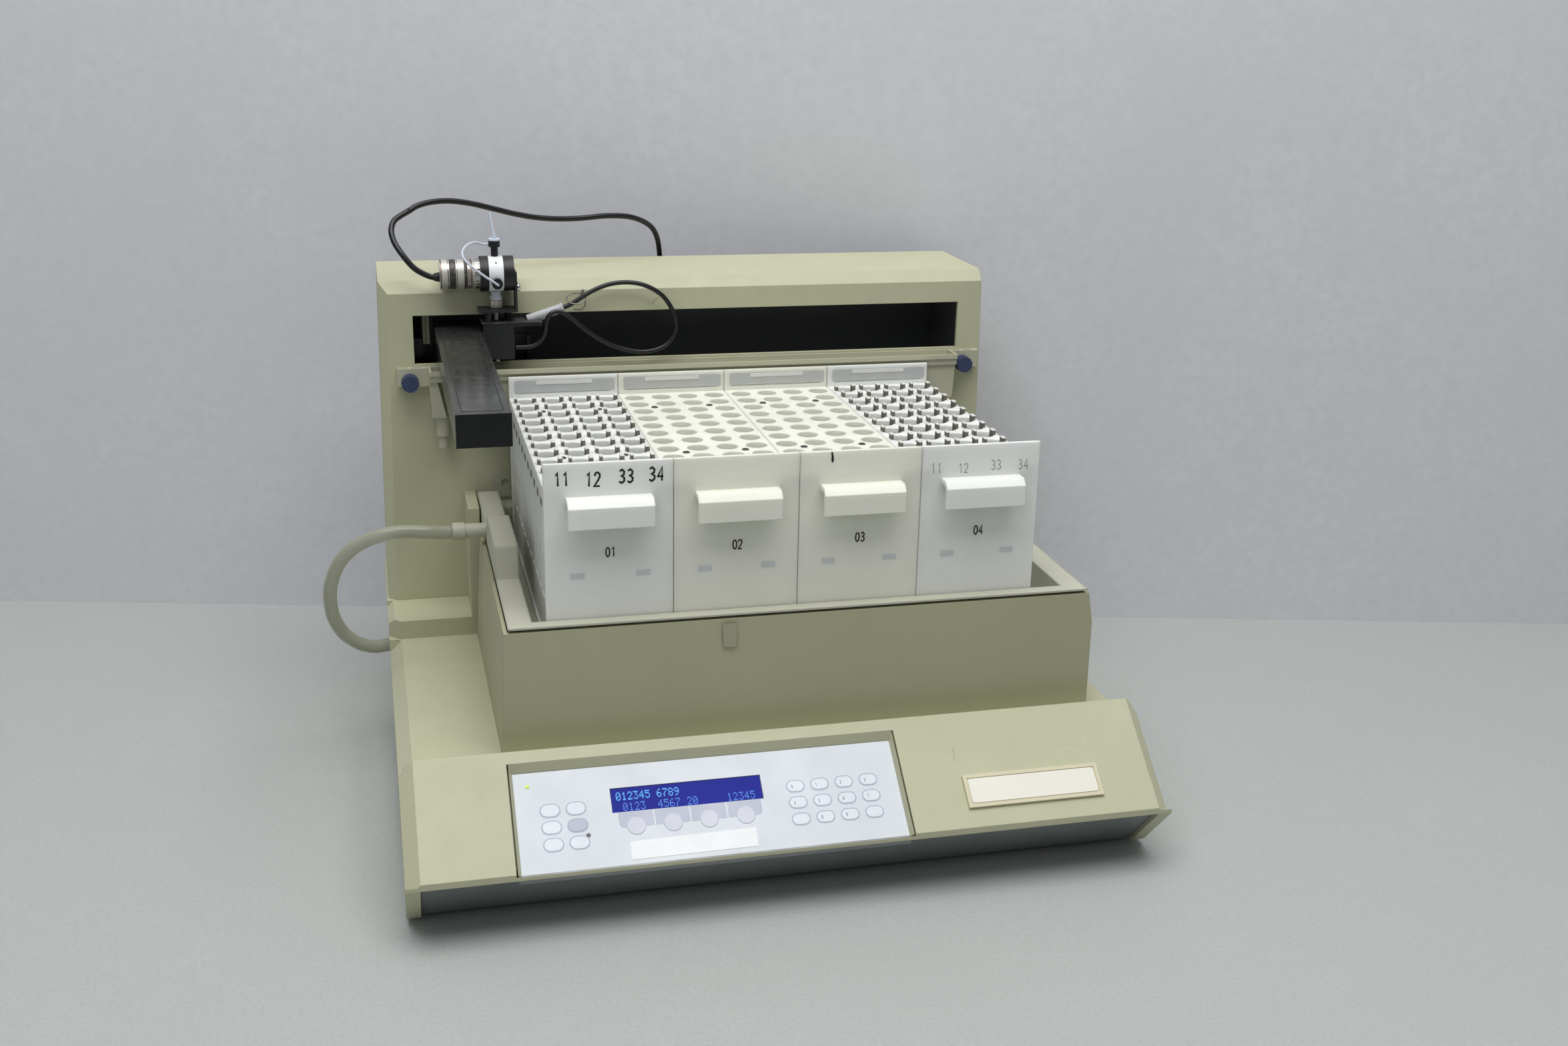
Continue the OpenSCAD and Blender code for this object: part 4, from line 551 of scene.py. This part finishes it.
# keypad: printed fields of one membrane, whose face is at this height in the panel's axes
PAD_N = -4.8
KEY_RIM = moulded("key_outline", srgb(176, 178, 196), 0.4, 0.02, 2200)
KEY_FILL = moulded("key_field", srgb(222, 226, 234), 0.35, 0.02, 2200)
SOFT_FIELD = moulded("soft_key_field", srgb(184, 187, 204), 0.4, 0.02, 2200)
SOFT_DOME = moulded("soft_key_dome", srgb(203, 206, 218), 0.36, 0.02, 2200)
INK = moulded("grey_ink", srgb(112, 114, 128), 0.5, 0.02, 2000)
BLACK_INK = moulded("black_ink", srgb(22, 22, 22), 0.45, 0.02, 2000)
FADED_INK = moulded("faded_ink", srgb(98, 98, 94), 0.6, 0.02, 2000)
PAPER = moulded("paper_label", srgb(246, 248, 250), 0.7, 0.04, 900)
PLATE_FACE = moulded("plate_face", srgb(236, 233, 220), 0.4, 0.02, 1500)
LIT = Finish("lit_dots", srgb(88, 176, 248), 0.5, Emission_Color=srgb(66, 160, 240),
             Emission_Strength=0.3)
LIT.blotch(600, 0.7).bump(900, 0.005)
DIM = Finish("dim_dots", srgb(62, 122, 220), 0.5, Emission_Color=srgb(50, 110, 215),
             Emission_Strength=0.2)
DIM.blotch(600, 0.7).bump(900, 0.005)
LAMP = Finish("pilot_lamp", srgb(190, 214, 96), 0.25, Coat_Weight=0.5,
              Emission_Color=srgb(190, 220, 90), Emission_Strength=0.4)
LAMP.blotch(400, 0.7).bump(900, 0.01)

# each key's centre along and up the panel, its width and its height
KEY_BORDER, GREY_KEY = 1.3, 3
FUNCTION_KEYS = [(x, s, 12.1, 8.6) for s in (38.4, 28.0, 17.5) for x in (83.6, 98.5)]
NUMBER_KEYS = [(x, s, 11.6, 7.9) for s in (39.1, 28.7, 18.2) for x in (229.2, 244.1, 259.2, 274.3)]
KEY_DIGITS = ["0", "1", "2", "3", "4", "5", "6", "7", "", "8", "9", ""]

rims, fills, grey_key, key_ink = Form(SLOPE), Form(SLOPE), Form(SLOPE), Form(SLOPE)
for i, (x, s, w, h) in enumerate(FUNCTION_KEYS + NUMBER_KEYS):
    rims.slab(stadium(x, s, w, h), PAD_N - 0.05, PAD_N + 0.12)
    top = grey_key if i == GREY_KEY else fills
    top.slab(stadium(x, s, w - KEY_BORDER, h - KEY_BORDER), PAD_N + 0.1, PAD_N + 0.3, 0.04)
for (x, s, _, _), digit in zip(NUMBER_KEYS, KEY_DIGITS):
    number(key_ink, digit, x - 2.6, s - 1.2, 2.1, 0.28, PAD_N + 0.28, PAD_N + 0.34)
rims.done("key_outlines", KEY_RIM, slot="keypad_overlay")
fills.done("key_fields", KEY_FILL, slot="keypad_overlay")
grey_key.done("key_grey", SOFT_FIELD, slot="keypad_overlay")
key_ink.done("key_numbers", INK, slot="keypad_overlay")

# four soft keys under the display: a row of fields with round outer corners, and a dome in each
FIELD_EDGES = (121.8, 143.0, 164.2, 186.0, 207.5)
FIELD_LOW, FIELD_HIGH, FIELD_GAP, CORNER, CUT = 23.7, 33.2, 0.5, 2.6, 0.8
fields, domes = Form(SLOPE), Form(SLOPE)
for i, x in enumerate((132.1, 153.6, 174.8, 196.8)):
    a, b = FIELD_EDGES[i] + FIELD_GAP, FIELD_EDGES[i + 1] - FIELD_GAP
    lower_right, lower_left = [(b, FIELD_LOW)], [(a, FIELD_LOW)]
    if i == 3:
        lower_right = [(b, FIELD_LOW + CORNER), (b - CUT, FIELD_LOW + CUT), (b - CORNER, FIELD_LOW)]
    if i == 0:
        lower_left = [(a + CORNER, FIELD_LOW), (a + CUT, FIELD_LOW + CUT), (a, FIELD_LOW + CORNER)]
    fields.slab([(a, FIELD_HIGH), (b, FIELD_HIGH)] + lower_right + lower_left,
                PAD_N - 0.05, PAD_N + 0.1)
    domes.slab(stadium(x, 24.2, 11.2, 11.2, steps=9), PAD_N + 0.02, PAD_N + 0.34, 0.06)
fields.done("soft_key_fields", SOFT_FIELD, slot="keypad_overlay")
domes.done("soft_key_domes", SOFT_DOME, slot="keypad_overlay")

# two rows of plain digits on the display, in dots
GLASS_N = -5.3
TEXT_X, CHARACTER_PITCH = 122.3, 3.44
DOT_W, DOT_H, DOT_PITCH_X, DOT_PITCH_Y = 0.51, 0.68, 0.55, 0.72
for name, finish, text, row_low in (("display_row_1", LIT, "012345 6789", 40.9),
                                    ("display_row_2", DIM, " 0123  4567 20     12345", 34.1)):
    dots = Form(SLOPE)
    for i, c in enumerate(text):
        for row, bits in enumerate(DOTS.get(c, ())):
            for col in range(5):
                if bits >> (4 - col) & 1:
                    x = TEXT_X + CHARACTER_PITCH * i + DOT_PITCH_X * col
                    s = row_low + DOT_PITCH_Y * (6 - row)
                    dots.box((x, s, GLASS_N + SUNK), (x + DOT_W, s + DOT_H, GLASS_N + 0.05))
    dots.done(name, finish, slot="display_module")
lamp_profile = [(0, 1.25), (0.35, 1.2), (0.6, 0.8), (0.7, 0.2)]
Form(SLOPE).lathe((72.1, 54.4, PAD_N - 0.1), (0, 0, 1), lamp_profile, 16).done(
    "pilot_lamp", LAMP, slot="keypad_overlay")
Form(SLOPE).slab([(102.6, 22.0), (104.2, 22.6), (105.3, 21.4), (104.6, 20.1), (103.0, 20.6)],
                 PAD_N + 0.28, PAD_N + 0.42).done("keypad_smudge", FADED_INK, slot="keypad_overlay")
Form(SLOPE).slab([(126.9, 14.8), (127.0, 3.9), (201.0, 4.4), (201.3, 16.0)],
                 PAD_N + SUNK, PAD_N + 0.22).done("paper_label", PAPER, slot="keypad_overlay")
Form(SLOPE).slab(stadium(374.5, 22.5, 81.8, 15.8, 1.6), 1.3, 1.95, 0.004).done(
    "plate_face", PLATE_FACE, slot="name_plate", bevel=0.15)
Form(SLOPE).stroke([(330.3, 52.7), (329.7, 50.4), (329.9, 47.6), (328.8, 43.0)],
                   0.16, SUNK, 0.05).done("deck_hair", FADED_INK, slot="base_cover")

# racks: the first one's left front corner, its rear wall's face, its first well, and the height of
# its grid plate
RACK_X, RACK_PITCH, RACK_Y, RACK_BACK_Y = 89.6, 76.0, 86.2, 303.5
WELL_X, WELL_PITCH_X, WELL_Y, WELL_PITCH_Y = 9.6, 18.8, 15.15, 19.0
WELL_COLS, WELL_ROWS = 4, 11
GRID_Z = 236.5
INSERT = moulded("well_insert", srgb(106, 101, 91), 0.6, 0.05, 1200)
RACK_EDGE = moulded("insert_edge", srgb(224, 225, 220), 0.4, 0.03, 1200).milky(0.2, 0.003)
SCREW = moulded("rack_screw", srgb(70, 68, 62), 0.45, 0.04, 900)
# painted shade as a darker panel on the racks' rear walls, and painted light as a paler strip on
# them
SHADE = moulded("painted_shade_panel", srgb(198, 200, 199), 0.5, 0.03, 900).milky(0.2, 0.003)
GLOW = moulded("painted_light_strip", srgb(238, 239, 235), 0.45, 0.03, 900).milky(0.2, 0.003)
GHOST = moulded("faint_block", srgb(206, 208, 208), 0.45, 0.03, 900)


def well_inserts(n, x0, rng):
    """Dark inserts with pale edges, left and right of each well, and their ends in the sides."""
    out, left_half, right_half, half_y, rim = 6.3, 0.85, 1.2, 2.6, 0.1
    above, below = 3.2, 4.4
    dark, lines = Form(), Form()
    for row in range(WELL_ROWS):
        y = RACK_Y + WELL_Y + WELL_PITCH_Y * row
        for col in range(WELL_COLS):
            for side, half in ((-1, left_half), (1, right_half)):
                x = x0 + WELL_X + WELL_PITCH_X * col + out * side + rng.uniform(-0.12, 0.12)
                yy = y + rng.uniform(-0.3, 0.3)
                top = GRID_Z + above + rng.uniform(-0.25, 0.15)
                dark.box((x - half, yy - half_y, GRID_Z - below), (x + half, yy + half_y, top))
                lines.box((x - half - rim, yy - half_y - rim, top - 0.2),
                          (x + half + rim, yy + half_y + rim, top + 0.3))
        for x in (x0 - 0.02, x0 + 75.3):
            dark.box((x, y - 2.4, 222.6), (x + 0.35, y + 2.4, 226.8))
    dark.done(f"rack_{n}_inserts", INSERT, f"rack_{n}", f"rack_{n}_grid", bevel=0.2)
    lines.done(f"rack_{n}_insert_edges", RACK_EDGE, f"rack_{n}", f"rack_{n}_grid")


def grid_screws(n, x0, rng):
    """Four screw heads on the grid plate."""
    profile = [(0, 2.3), (0.6, 2.3), (0.85, 2.0), (0.85, 1.2), (0.45, 1.0)]
    heads = Form()
    for x in (x0 + 19.0, x0 + 56.6):
        for y in (148.85, 262.85):
            start = (x + rng.uniform(-0.4, 0.4), y + rng.uniform(-0.3, 0.3), GRID_Z - 0.3)
            heads.lathe(start, (0, 0, 1), profile, 20)
    heads.done(f"rack_{n}_screws", SCREW, f"rack_{n}", f"rack_{n}_grid")


def rear_wall(n, x0):
    """A darker panel of painted shade in the rear wall's face, with a paler strip of painted light.
    """
    rear = face_frame(RACK_BACK_Y)
    Form(rear).slab(stadium(x0 + 38.6, 244.2, 69.6, 8.6, 0.8), SUNK, 0.2).done(
        f"rack_{n}_rear_painted_shade", SHADE, f"rack_{n}", f"rack_{n}_shell")
    Form(rear).slab(stadium(x0 + 38.2, 246.9, 38.6, 2.6, 0.5), 0.15, 0.45).done(
        f"rack_{n}_rear_painted_glow", GLOW, f"rack_{n}", f"rack_{n}_shell")


def front_marks(n, x0):
    """Two faint blocks and the rack's number."""
    ghosts = Form(face_frame(RACK_Y))
    for x in (18.8, 57.6):
        ghosts.slab(stadium(x0 + x, 182.3, 8.6, 3.6, 0.6), SUNK, 0.06)
    ghosts.done(f"rack_{n}_faint_blocks", GHOST, f"rack_{n}", f"rack_{n}_shell")
    ink = Form(face_frame(RACK_Y))
    number(ink, f"0{n}", x0 + 35.6, 193.4, 5.8, 0.82, SUNK, 0.1)
    ink.done(f"rack_{n}_number", BLACK_INK, f"rack_{n}", f"rack_{n}_shell")


def hand_numbers(n, x0, rng, ink, level, heights, width, places):
    """Tube numbers written by hand above the pull."""
    hand = Form(face_frame(RACK_Y))
    for x, text in zip(places, ("11", "12", "33", "34")):
        y = level + rng.uniform(-0.8, 0.8)
        height = rng.uniform(*heights)
        number(hand, text, x0 + x, y, height, width, SUNK, 0.08,
               lean=rng.uniform(-0.06, 0.05), gap=0.54)
    hand.done(f"rack_{n}_hand_numbers", ink, f"rack_{n}", f"rack_{n}_shell")


for n in range(1, 5):
    x0 = RACK_X + RACK_PITCH * (n - 1)
    rng = random.Random(40 + n)
    if n in (1, 4):
        well_inserts(n, x0, rng)
    grid_screws(n, x0, rng)
    rear_wall(n, x0)
    front_marks(n, x0)
    if n == 1:
        hand_numbers(n, x0, rng, BLACK_INK, 237.6, (7.4, 8.4), 1.15, (6.6, 24.4, 43.8, 61.4))
    if n == 4:
        hand_numbers(n, x0, rng, FADED_INK, 234.0, (5.6, 6.6), 0.34, (6.0, 23.6, 44.6, 62.2))
    if n == 3:
        drop = [(18.6, 250.6), (19.6, 250.7), (20.3, 247.5), (20.4, 245.0), (19.6, 243.9),
                (18.8, 245.2), (18.9, 247.6)]
        Form(face_frame(RACK_Y)).slab([(x0 + x, z) for x, z in drop], SUNK, 0.1).done(
            "rack_3_ink_drop", BLACK_INK, "rack_3", "rack_3_shell")

# valve and its fittings
CHROME = Finish("chrome", srgb(212, 210, 205), 0.14, Metallic=1.0)
CHROME.worn(300, 0.08, 0.26).blotch(200, 0.8).bump(900, 0.01)
DULL = Finish("dull_band", srgb(58, 55, 50), 0.5, Metallic=0.2)
DULL.blotch(260, 2.6, 0.48, 0.6, detail=6).worn(200, 0.35, 0.6).bump(900, 0.02)
BROWN = Finish("tarnish", srgb(122, 108, 98), 0.45, Metallic=0.6)
BROWN.blotch(160, 1.5, 0.45, 0.65, detail=5).worn(200, 0.25, 0.5).bump(900, 0.02)
COIL_Y, COIL_Z = 319.5, 320.7
NEEDLE_AT = (84.2, 319.5, 302.6)


def can_band(name, x1, x2, r, finish):
    """A band round the coil, from x1 to x2 right to left."""
    wide, inner, chamfer, drop = x1 - x2, 9, 0.2, 0.25
    profile = [(0, inner), (0, r - drop), (chamfer, r), (wide / 2, r), (wide - chamfer, r),
               (wide, r - drop), (wide, inner)]
    Form().lathe((x1, COIL_Y, COIL_Z), (-1, 0, 0), profile, 64).done(
        name, finish, "head", "valve_coil")


can_band("coil_tarnish_right", 68.3, 66.6, 10.06, BROWN)
can_band("coil_ring_right", 66.4, 65.4, 10.35, CHROME)
can_band("coil_ring_middle", 58.4, 57.6, 10.22, CHROME)
can_band("coil_ring_left", 52.6, 51.6, 10.32, CHROME)
can_band("coil_band_right", 65.2, 62.6, 10.05, DULL)
can_band("coil_band_left", 57.4, 52.8, 10.05, DULL)
can_band("coil_tarnish_left", 48.0, 46.75, 10.07, BROWN)
# the coil's knurled nut
Form().lathe((73.45, COIL_Y, COIL_Z), (-1, 0, 0), [(0, 9.6), (0.3, 10.2), (3.3, 10.2), (3.9, 9.6)],
             96, lobes=24, lobe=0.018).done("coil_nut", CHROME, "head", "valve_coil")
# the cable's grommet in the coil's end
Form().lathe((46.9, COIL_Y, COIL_Z - 1.7), (-1, 0, 0),
             [(0, 3.1), (0.4, 3.3), (2.5, 2.9), (4.2, 2.5)], 24).done(
    "coil_grommet", RUBBER, "head", "valve_coil")
# a round head on the bracket's right side
Form().lathe((98.9, COIL_Y, COIL_Z - 9.9), (1, 0, 0),
             [(0, 2.9), (0.8, 2.9), (1.6, 2.4), (2.1, 1.4), (2.3, 0.3)], 28).done(
    "bracket_screw", CHROME, "head", "head_bracket")
# a pinhole in the valve's body
Form().lathe((84.2, 311.0, 329.3), (0, -0.7, 0.7), [(0, 0.55), (0.2, 0.55)], 12).done(
    "body_pinhole", BLACK_INK, "head", "valve_body")
# the needle's hexagon nut, and the clear seal above it
NUT_METAL = Finish("nut_metal", srgb(216, 212, 198), 0.3, Metallic=0.6)
NUT_METAL.worn(200, 0.22, 0.4).blotch(150, 0.85).bump(900, 0.01)
Form().lathe(NEEDLE_AT, (0, 0, -1), [(0, 4.2), (0.3, 4.5), (5.0, 4.5), (5.4, 4.2)], 6, math.pi / 6
             ).done("needle_nut", NUT_METAL, "head", "drop_nozzle", bevel=0.15, smooth=25)
Form().lathe(NEEDLE_AT, (0, 0, 1), [(0, 4.0), (0.3, 4.3), (2.6, 4.3), (3.4, 3.6), (6.0, 3.5)], 24
             ).done("needle_seal", TUBE, "head", "drop_nozzle", bevel=0.3, smooth=25)
# the tapered tip on the upper fitting
Form().wire([(84.3, 319.5, 343.2), (84.0, 319.5, 347.5), (83.3, 319.5, 352.0), (82.2, 319.5, 357.0),
             (80.9, 319.5, 362.2)], lambda t: 1.5 - 1.15 * t, 14).done(
    "upper_tip", TUBE, "head", "tube_fittings")
# a worn skin with a ragged front edge on the head block's flange
WORN = moulded("worn_black", srgb(40, 42, 43), 0.5, 0.08, 500)
SCRAPES = WORN.ramp(WORN.noise(90, detail=8, rough=0.8, stretch=(1, 6, 1)), 0.55, 0.68)
WORN.tint(SCRAPES, srgb(120, 124, 122))
rng = random.Random(7)
ragged = [(x, 308.2 + rng.uniform(-0.5, 0.3))
          for x in (73.0, 76, 79, 83, 88, 92, 97, 101, 106, 110, 114.2)]
plain = [(114.2, 315.2), (108, 315.6), (104.3, 316.4), (104.0, 325.6), (73.0, 325.8)]
Form().slab(ragged + plain, 287.9, 288.7).done(
    "flange_skin", WORN, "head", "head_block", bevel=0.15)
# a wire ring with its loose tail, and a wire's end, at the sensor lead
STRAND = Finish("wire", srgb(126, 124, 118), 0.4, Metallic=0.4)
STRAND.worn(300, 0.2, 0.45).bump(900, 0.02)
ring = [(139.2 + 6.6 * math.cos(a), 319.8 + 1.6 * math.sin(a), 302.0 + 3.6 * math.sin(a))
        for a in (math.radians(20 * k) for k in range(-1, 18))]
tail = [(145.6, 320.6, 300.2), (145.4, 321.0, 296.6), (142.5, 321.2, 293.8), (137.5, 321.0, 294.2)]
Form().wire(ring + tail, lambda t: 0.45).done("wire_ring", STRAND, "head", "sensor_cable")
Form().wire([(142.2, 320.2, 303.4), (143.4, 320.4, 305.8), (144.6, 320.6, 307.9)],
            lambda t: 0.9).done("wire_end", FADED_INK, "head", "sensor_cable")
# the sleeve's flared mouth
Form().lathe((127.2, 320.2, 294.8), (0.953, 0, 0.3),
             [(0, 3.35), (1.4, 3.5), (3.0, 3.9), (3.2, 3.6), (1.5, 3.2)], 28).done(
    "sleeve_mouth", SLEEVE, "head", "cable_sleeve")

# a grooved post on the carriage, inside the slot
POST = moulded("slot_post", srgb(176, 174, 150), 0.5, 0.04, 900)
post = Form()
post.box((34.5, 343.6, 268.0), (36.3, 346.0, 288.2))
post.box((37.3, 343.6, 268.0), (39.2, 346.0, 288.2))
post.box((34.5, 345.0, 267.4), (39.2, 347.0, 288.0))
post.done("carriage_post", POST, "arm", "x_carriage", bevel=0.2)

# the lid's seam on the arm's top
ARM_TOP = 281.9
SEAM_LEFT, SEAM_RIGHT, SEAM_FRONT, SEAM_BACK, SEAM_WIDE = 45.9, 69.6, 95.0, 323.9, 0.5
seam = Form()
for line in ([(SEAM_LEFT, SEAM_FRONT), (SEAM_LEFT, SEAM_BACK)],
             [(SEAM_RIGHT, SEAM_FRONT), (SEAM_RIGHT, SEAM_BACK)],
             [(SEAM_LEFT, SEAM_FRONT), (SEAM_RIGHT, SEAM_FRONT)]):
    seam.stroke(line, SEAM_WIDE, ARM_TOP, ARM_TOP + 0.16)
seam.done("arm_seam", BLACK_INK, "arm", "arm_lid")

# the lip that covers the edge under the keypad
LIP_Y = 3.75
Form(face_frame(LIP_Y)).slab([(62.5, 30.8), (293.5, 30.8), (293.5, 34.8), (62.5, 34.8)],
                            -0.3, 0.2).done("keypad_lip", SILVER, slot="chassis_pan", bevel=0.1)
Form(SLOPE).box((62.0, -0.35, -6.3), (294.0, 1.25, -4.95)).done(
    "keypad_lip_edge", SILVER, slot="chassis_pan")
# sloped inner edges of the keypad's recess: at the top, left and right
OUT_X, IN_X, OUT_S, IN_S, OUT_N, IN_N = (61.95, 294.05), (64.0, 292.5), 67.35, 63.0, -0.1, -4.75
FOOT_S = 0.1
ends = [[(a, OUT_S, OUT_N), (b, IN_S, IN_N), (a, OUT_S, IN_N)] for a, b in zip(OUT_X, IN_X)]
feet = [[(a, FOOT_S, OUT_N), (b, FOOT_S, IN_N), (a, FOOT_S, IN_N)] for a, b in zip(OUT_X, IN_X)]
Form(SLOPE).loft(ends).loft([ends[0], feet[0]]).loft([ends[1], feet[1]]).done(
    "keypad_frame", BEIGE, slot="base_cover", smooth=20)

# marks on the fronts of the tower and the tub, and on the deck
TOWER_FRONT, TUB_FRONT = 326.9, 75.0
Form(face_frame(TOWER_FRONT)).stroke([(193.6, 295.3), (195.4, 297.9), (198.0, 299.9)], 0.3, SUNK,
                                     0.06).done("tower_hair", FADED_INK, slot="tower_cover")
SCUFF = moulded("scuff", srgb(208, 206, 182), 0.6, 0.05, 900)
SCRATCHES = 16
rng = random.Random(11)
scuff = Form(SLOPE)
for _ in range(SCRATCHES):
    x, y = 403 + rng.uniform(-11, 11), 43.5 + rng.uniform(-5, 5)
    scuff.stroke([(x, y), (x + rng.uniform(-2.5, 2.5), y + rng.uniform(-1.5, 2.5)),
                  (x + rng.uniform(1, 4), y + rng.uniform(-3, 3))], 0.35, SUNK, 0.04)
scuff.done("deck_scuff", SCUFF, slot="base_cover")
MARK = moulded("tape_mark", srgb(168, 166, 140), 0.5, 0.03, 900)
tape = [(193.2, 150.6), (193.8, 135.6), (201.6, 135.0), (202.1, 150.2)]
Form(face_frame(TUB_FRONT)).slab(tape, SUNK, 0.02).done("tub_tape", MARK, slot="tub_surround")

# ------------------------------------------------------------------ stage, light and camera

# the camera, as solved from the base's edges in the photograph
CAMERA_AT = Vector((-0.2321, -1.0402, 0.5242))
YAW, PITCH, ROLL = math.radians(14.33), math.radians(18.25), math.radians(-1.27)
LENS, SENSOR_WIDTH = 38.32, 36


def aim_camera():
    """The photograph's camera: turned by yaw, tipped by pitch, rolled about its own axis."""
    ahead = Vector((math.sin(YAW) * math.cos(PITCH), math.cos(YAW) * math.cos(PITCH),
                    -math.sin(PITCH)))
    level = Vector((math.cos(YAW), -math.sin(YAW), 0))
    below = ahead.cross(level)
    right = math.cos(ROLL) * level + math.sin(ROLL) * below
    down = -math.sin(ROLL) * level + math.cos(ROLL) * below
    camera = bpy.data.objects.new("camera", bpy.data.cameras.new("camera"))
    bpy.context.collection.objects.link(camera)
    camera.data.lens = LENS
    camera.data.sensor_width = SENSOR_WIDTH
    camera.data.clip_start = 0.01
    turn = Matrix((right, -down, -ahead)).transposed().to_4x4()
    camera.matrix_world = Matrix.Translation(CAMERA_AT) @ turn
    bpy.context.scene.camera = camera


aim_camera()

FLOOR = Finish("floor_surface", srgb(178, 182, 179), 0.6)
FLOOR.blotch(7, 0.95, 0.3, 0.8).blotch(60, 0.96, 0.4, 0.7, detail=6)
FLOOR.blotch(420, 0.9, 0.4, 0.7, detail=2).bump(300, 0.05)
WALL = Finish("wall_surface", srgb(218, 219, 224), 0.8)
WALL.blotch(9, 0.94, 0.35, 0.75, detail=6).blotch(45, 0.95, 0.4, 0.7, detail=6)
WALL.blotch(130, 0.92, 0.4, 0.7, detail=5)
# the wall is seen from its front only
see_through = WALL.node("ShaderNodeBsdfTransparent")
back = WALL.node("ShaderNodeNewGeometry").outputs["Backfacing"]
pick = WALL.node("ShaderNodeMixShader")
WALL.link(back, pick.inputs["Fac"])
WALL.link(WALL.bsdf.outputs[0], pick.inputs[1])
WALL.link(see_through.outputs[0], pick.inputs[2])
WALL.link(pick.outputs[0], WALL.tree.nodes["Material Output"].inputs["Surface"])


def flat_sheet(name, corners, finish):
    """A sheet of the stage."""
    mesh = bpy.data.meshes.new(name)
    mesh.from_pydata(corners, [], [range(len(corners))])
    new_object(name, mesh, finish)


FLOOR_HALF, WALL_HALF = 6, 5
WALL_AT, WALL_HIGH = Vector((0.0, 0.285, 0)), Vector((0, 0, 4))
WALL_TURN = 0.02
WALL_YAW = YAW - WALL_TURN
flat_sheet("floor", [(x * FLOOR_HALF, y * FLOOR_HALF, 0)
                     for x, y in ((-1, -1), (1, -1), (1, 1), (-1, 1))], FLOOR)
across = WALL_HALF * Vector((math.cos(WALL_YAW), -math.sin(WALL_YAW), 0))
flat_sheet("wall", [WALL_AT - across, WALL_AT + across, WALL_AT + across + WALL_HIGH,
                    WALL_AT - across + WALL_HIGH], WALL)

world = bpy.data.worlds.new("world")
bpy.context.scene.world = world
world.use_nodes = True
background = world.node_tree.nodes["Background"]
background.inputs["Color"].default_value = (0.86, 0.88, 0.92, 1)
background.inputs["Strength"].default_value = 0.2

AIM = Vector((0, 0, 0.1))


def lamp(name, at, size, watts):
    """An area lamp that points at the device."""
    light = bpy.data.lights.new(name, "AREA")
    light.shape = "RECTANGLE"
    light.size, light.size_y = size
    light.energy = watts
    o = bpy.data.objects.new(name, light)
    bpy.context.collection.objects.link(o)
    o.location = at
    o.rotation_euler = (AIM - Vector(at)).to_track_quat("-Z", "Y").to_euler()


lamp("overhead", (-0.1, -0.5, 2.1), (2.2, 1.4), 44)
lamp("front", (-1.2, -1.9, 1.7), (1.2, 1.2), 4)

bpy.context.scene.view_settings.view_transform = "Standard"
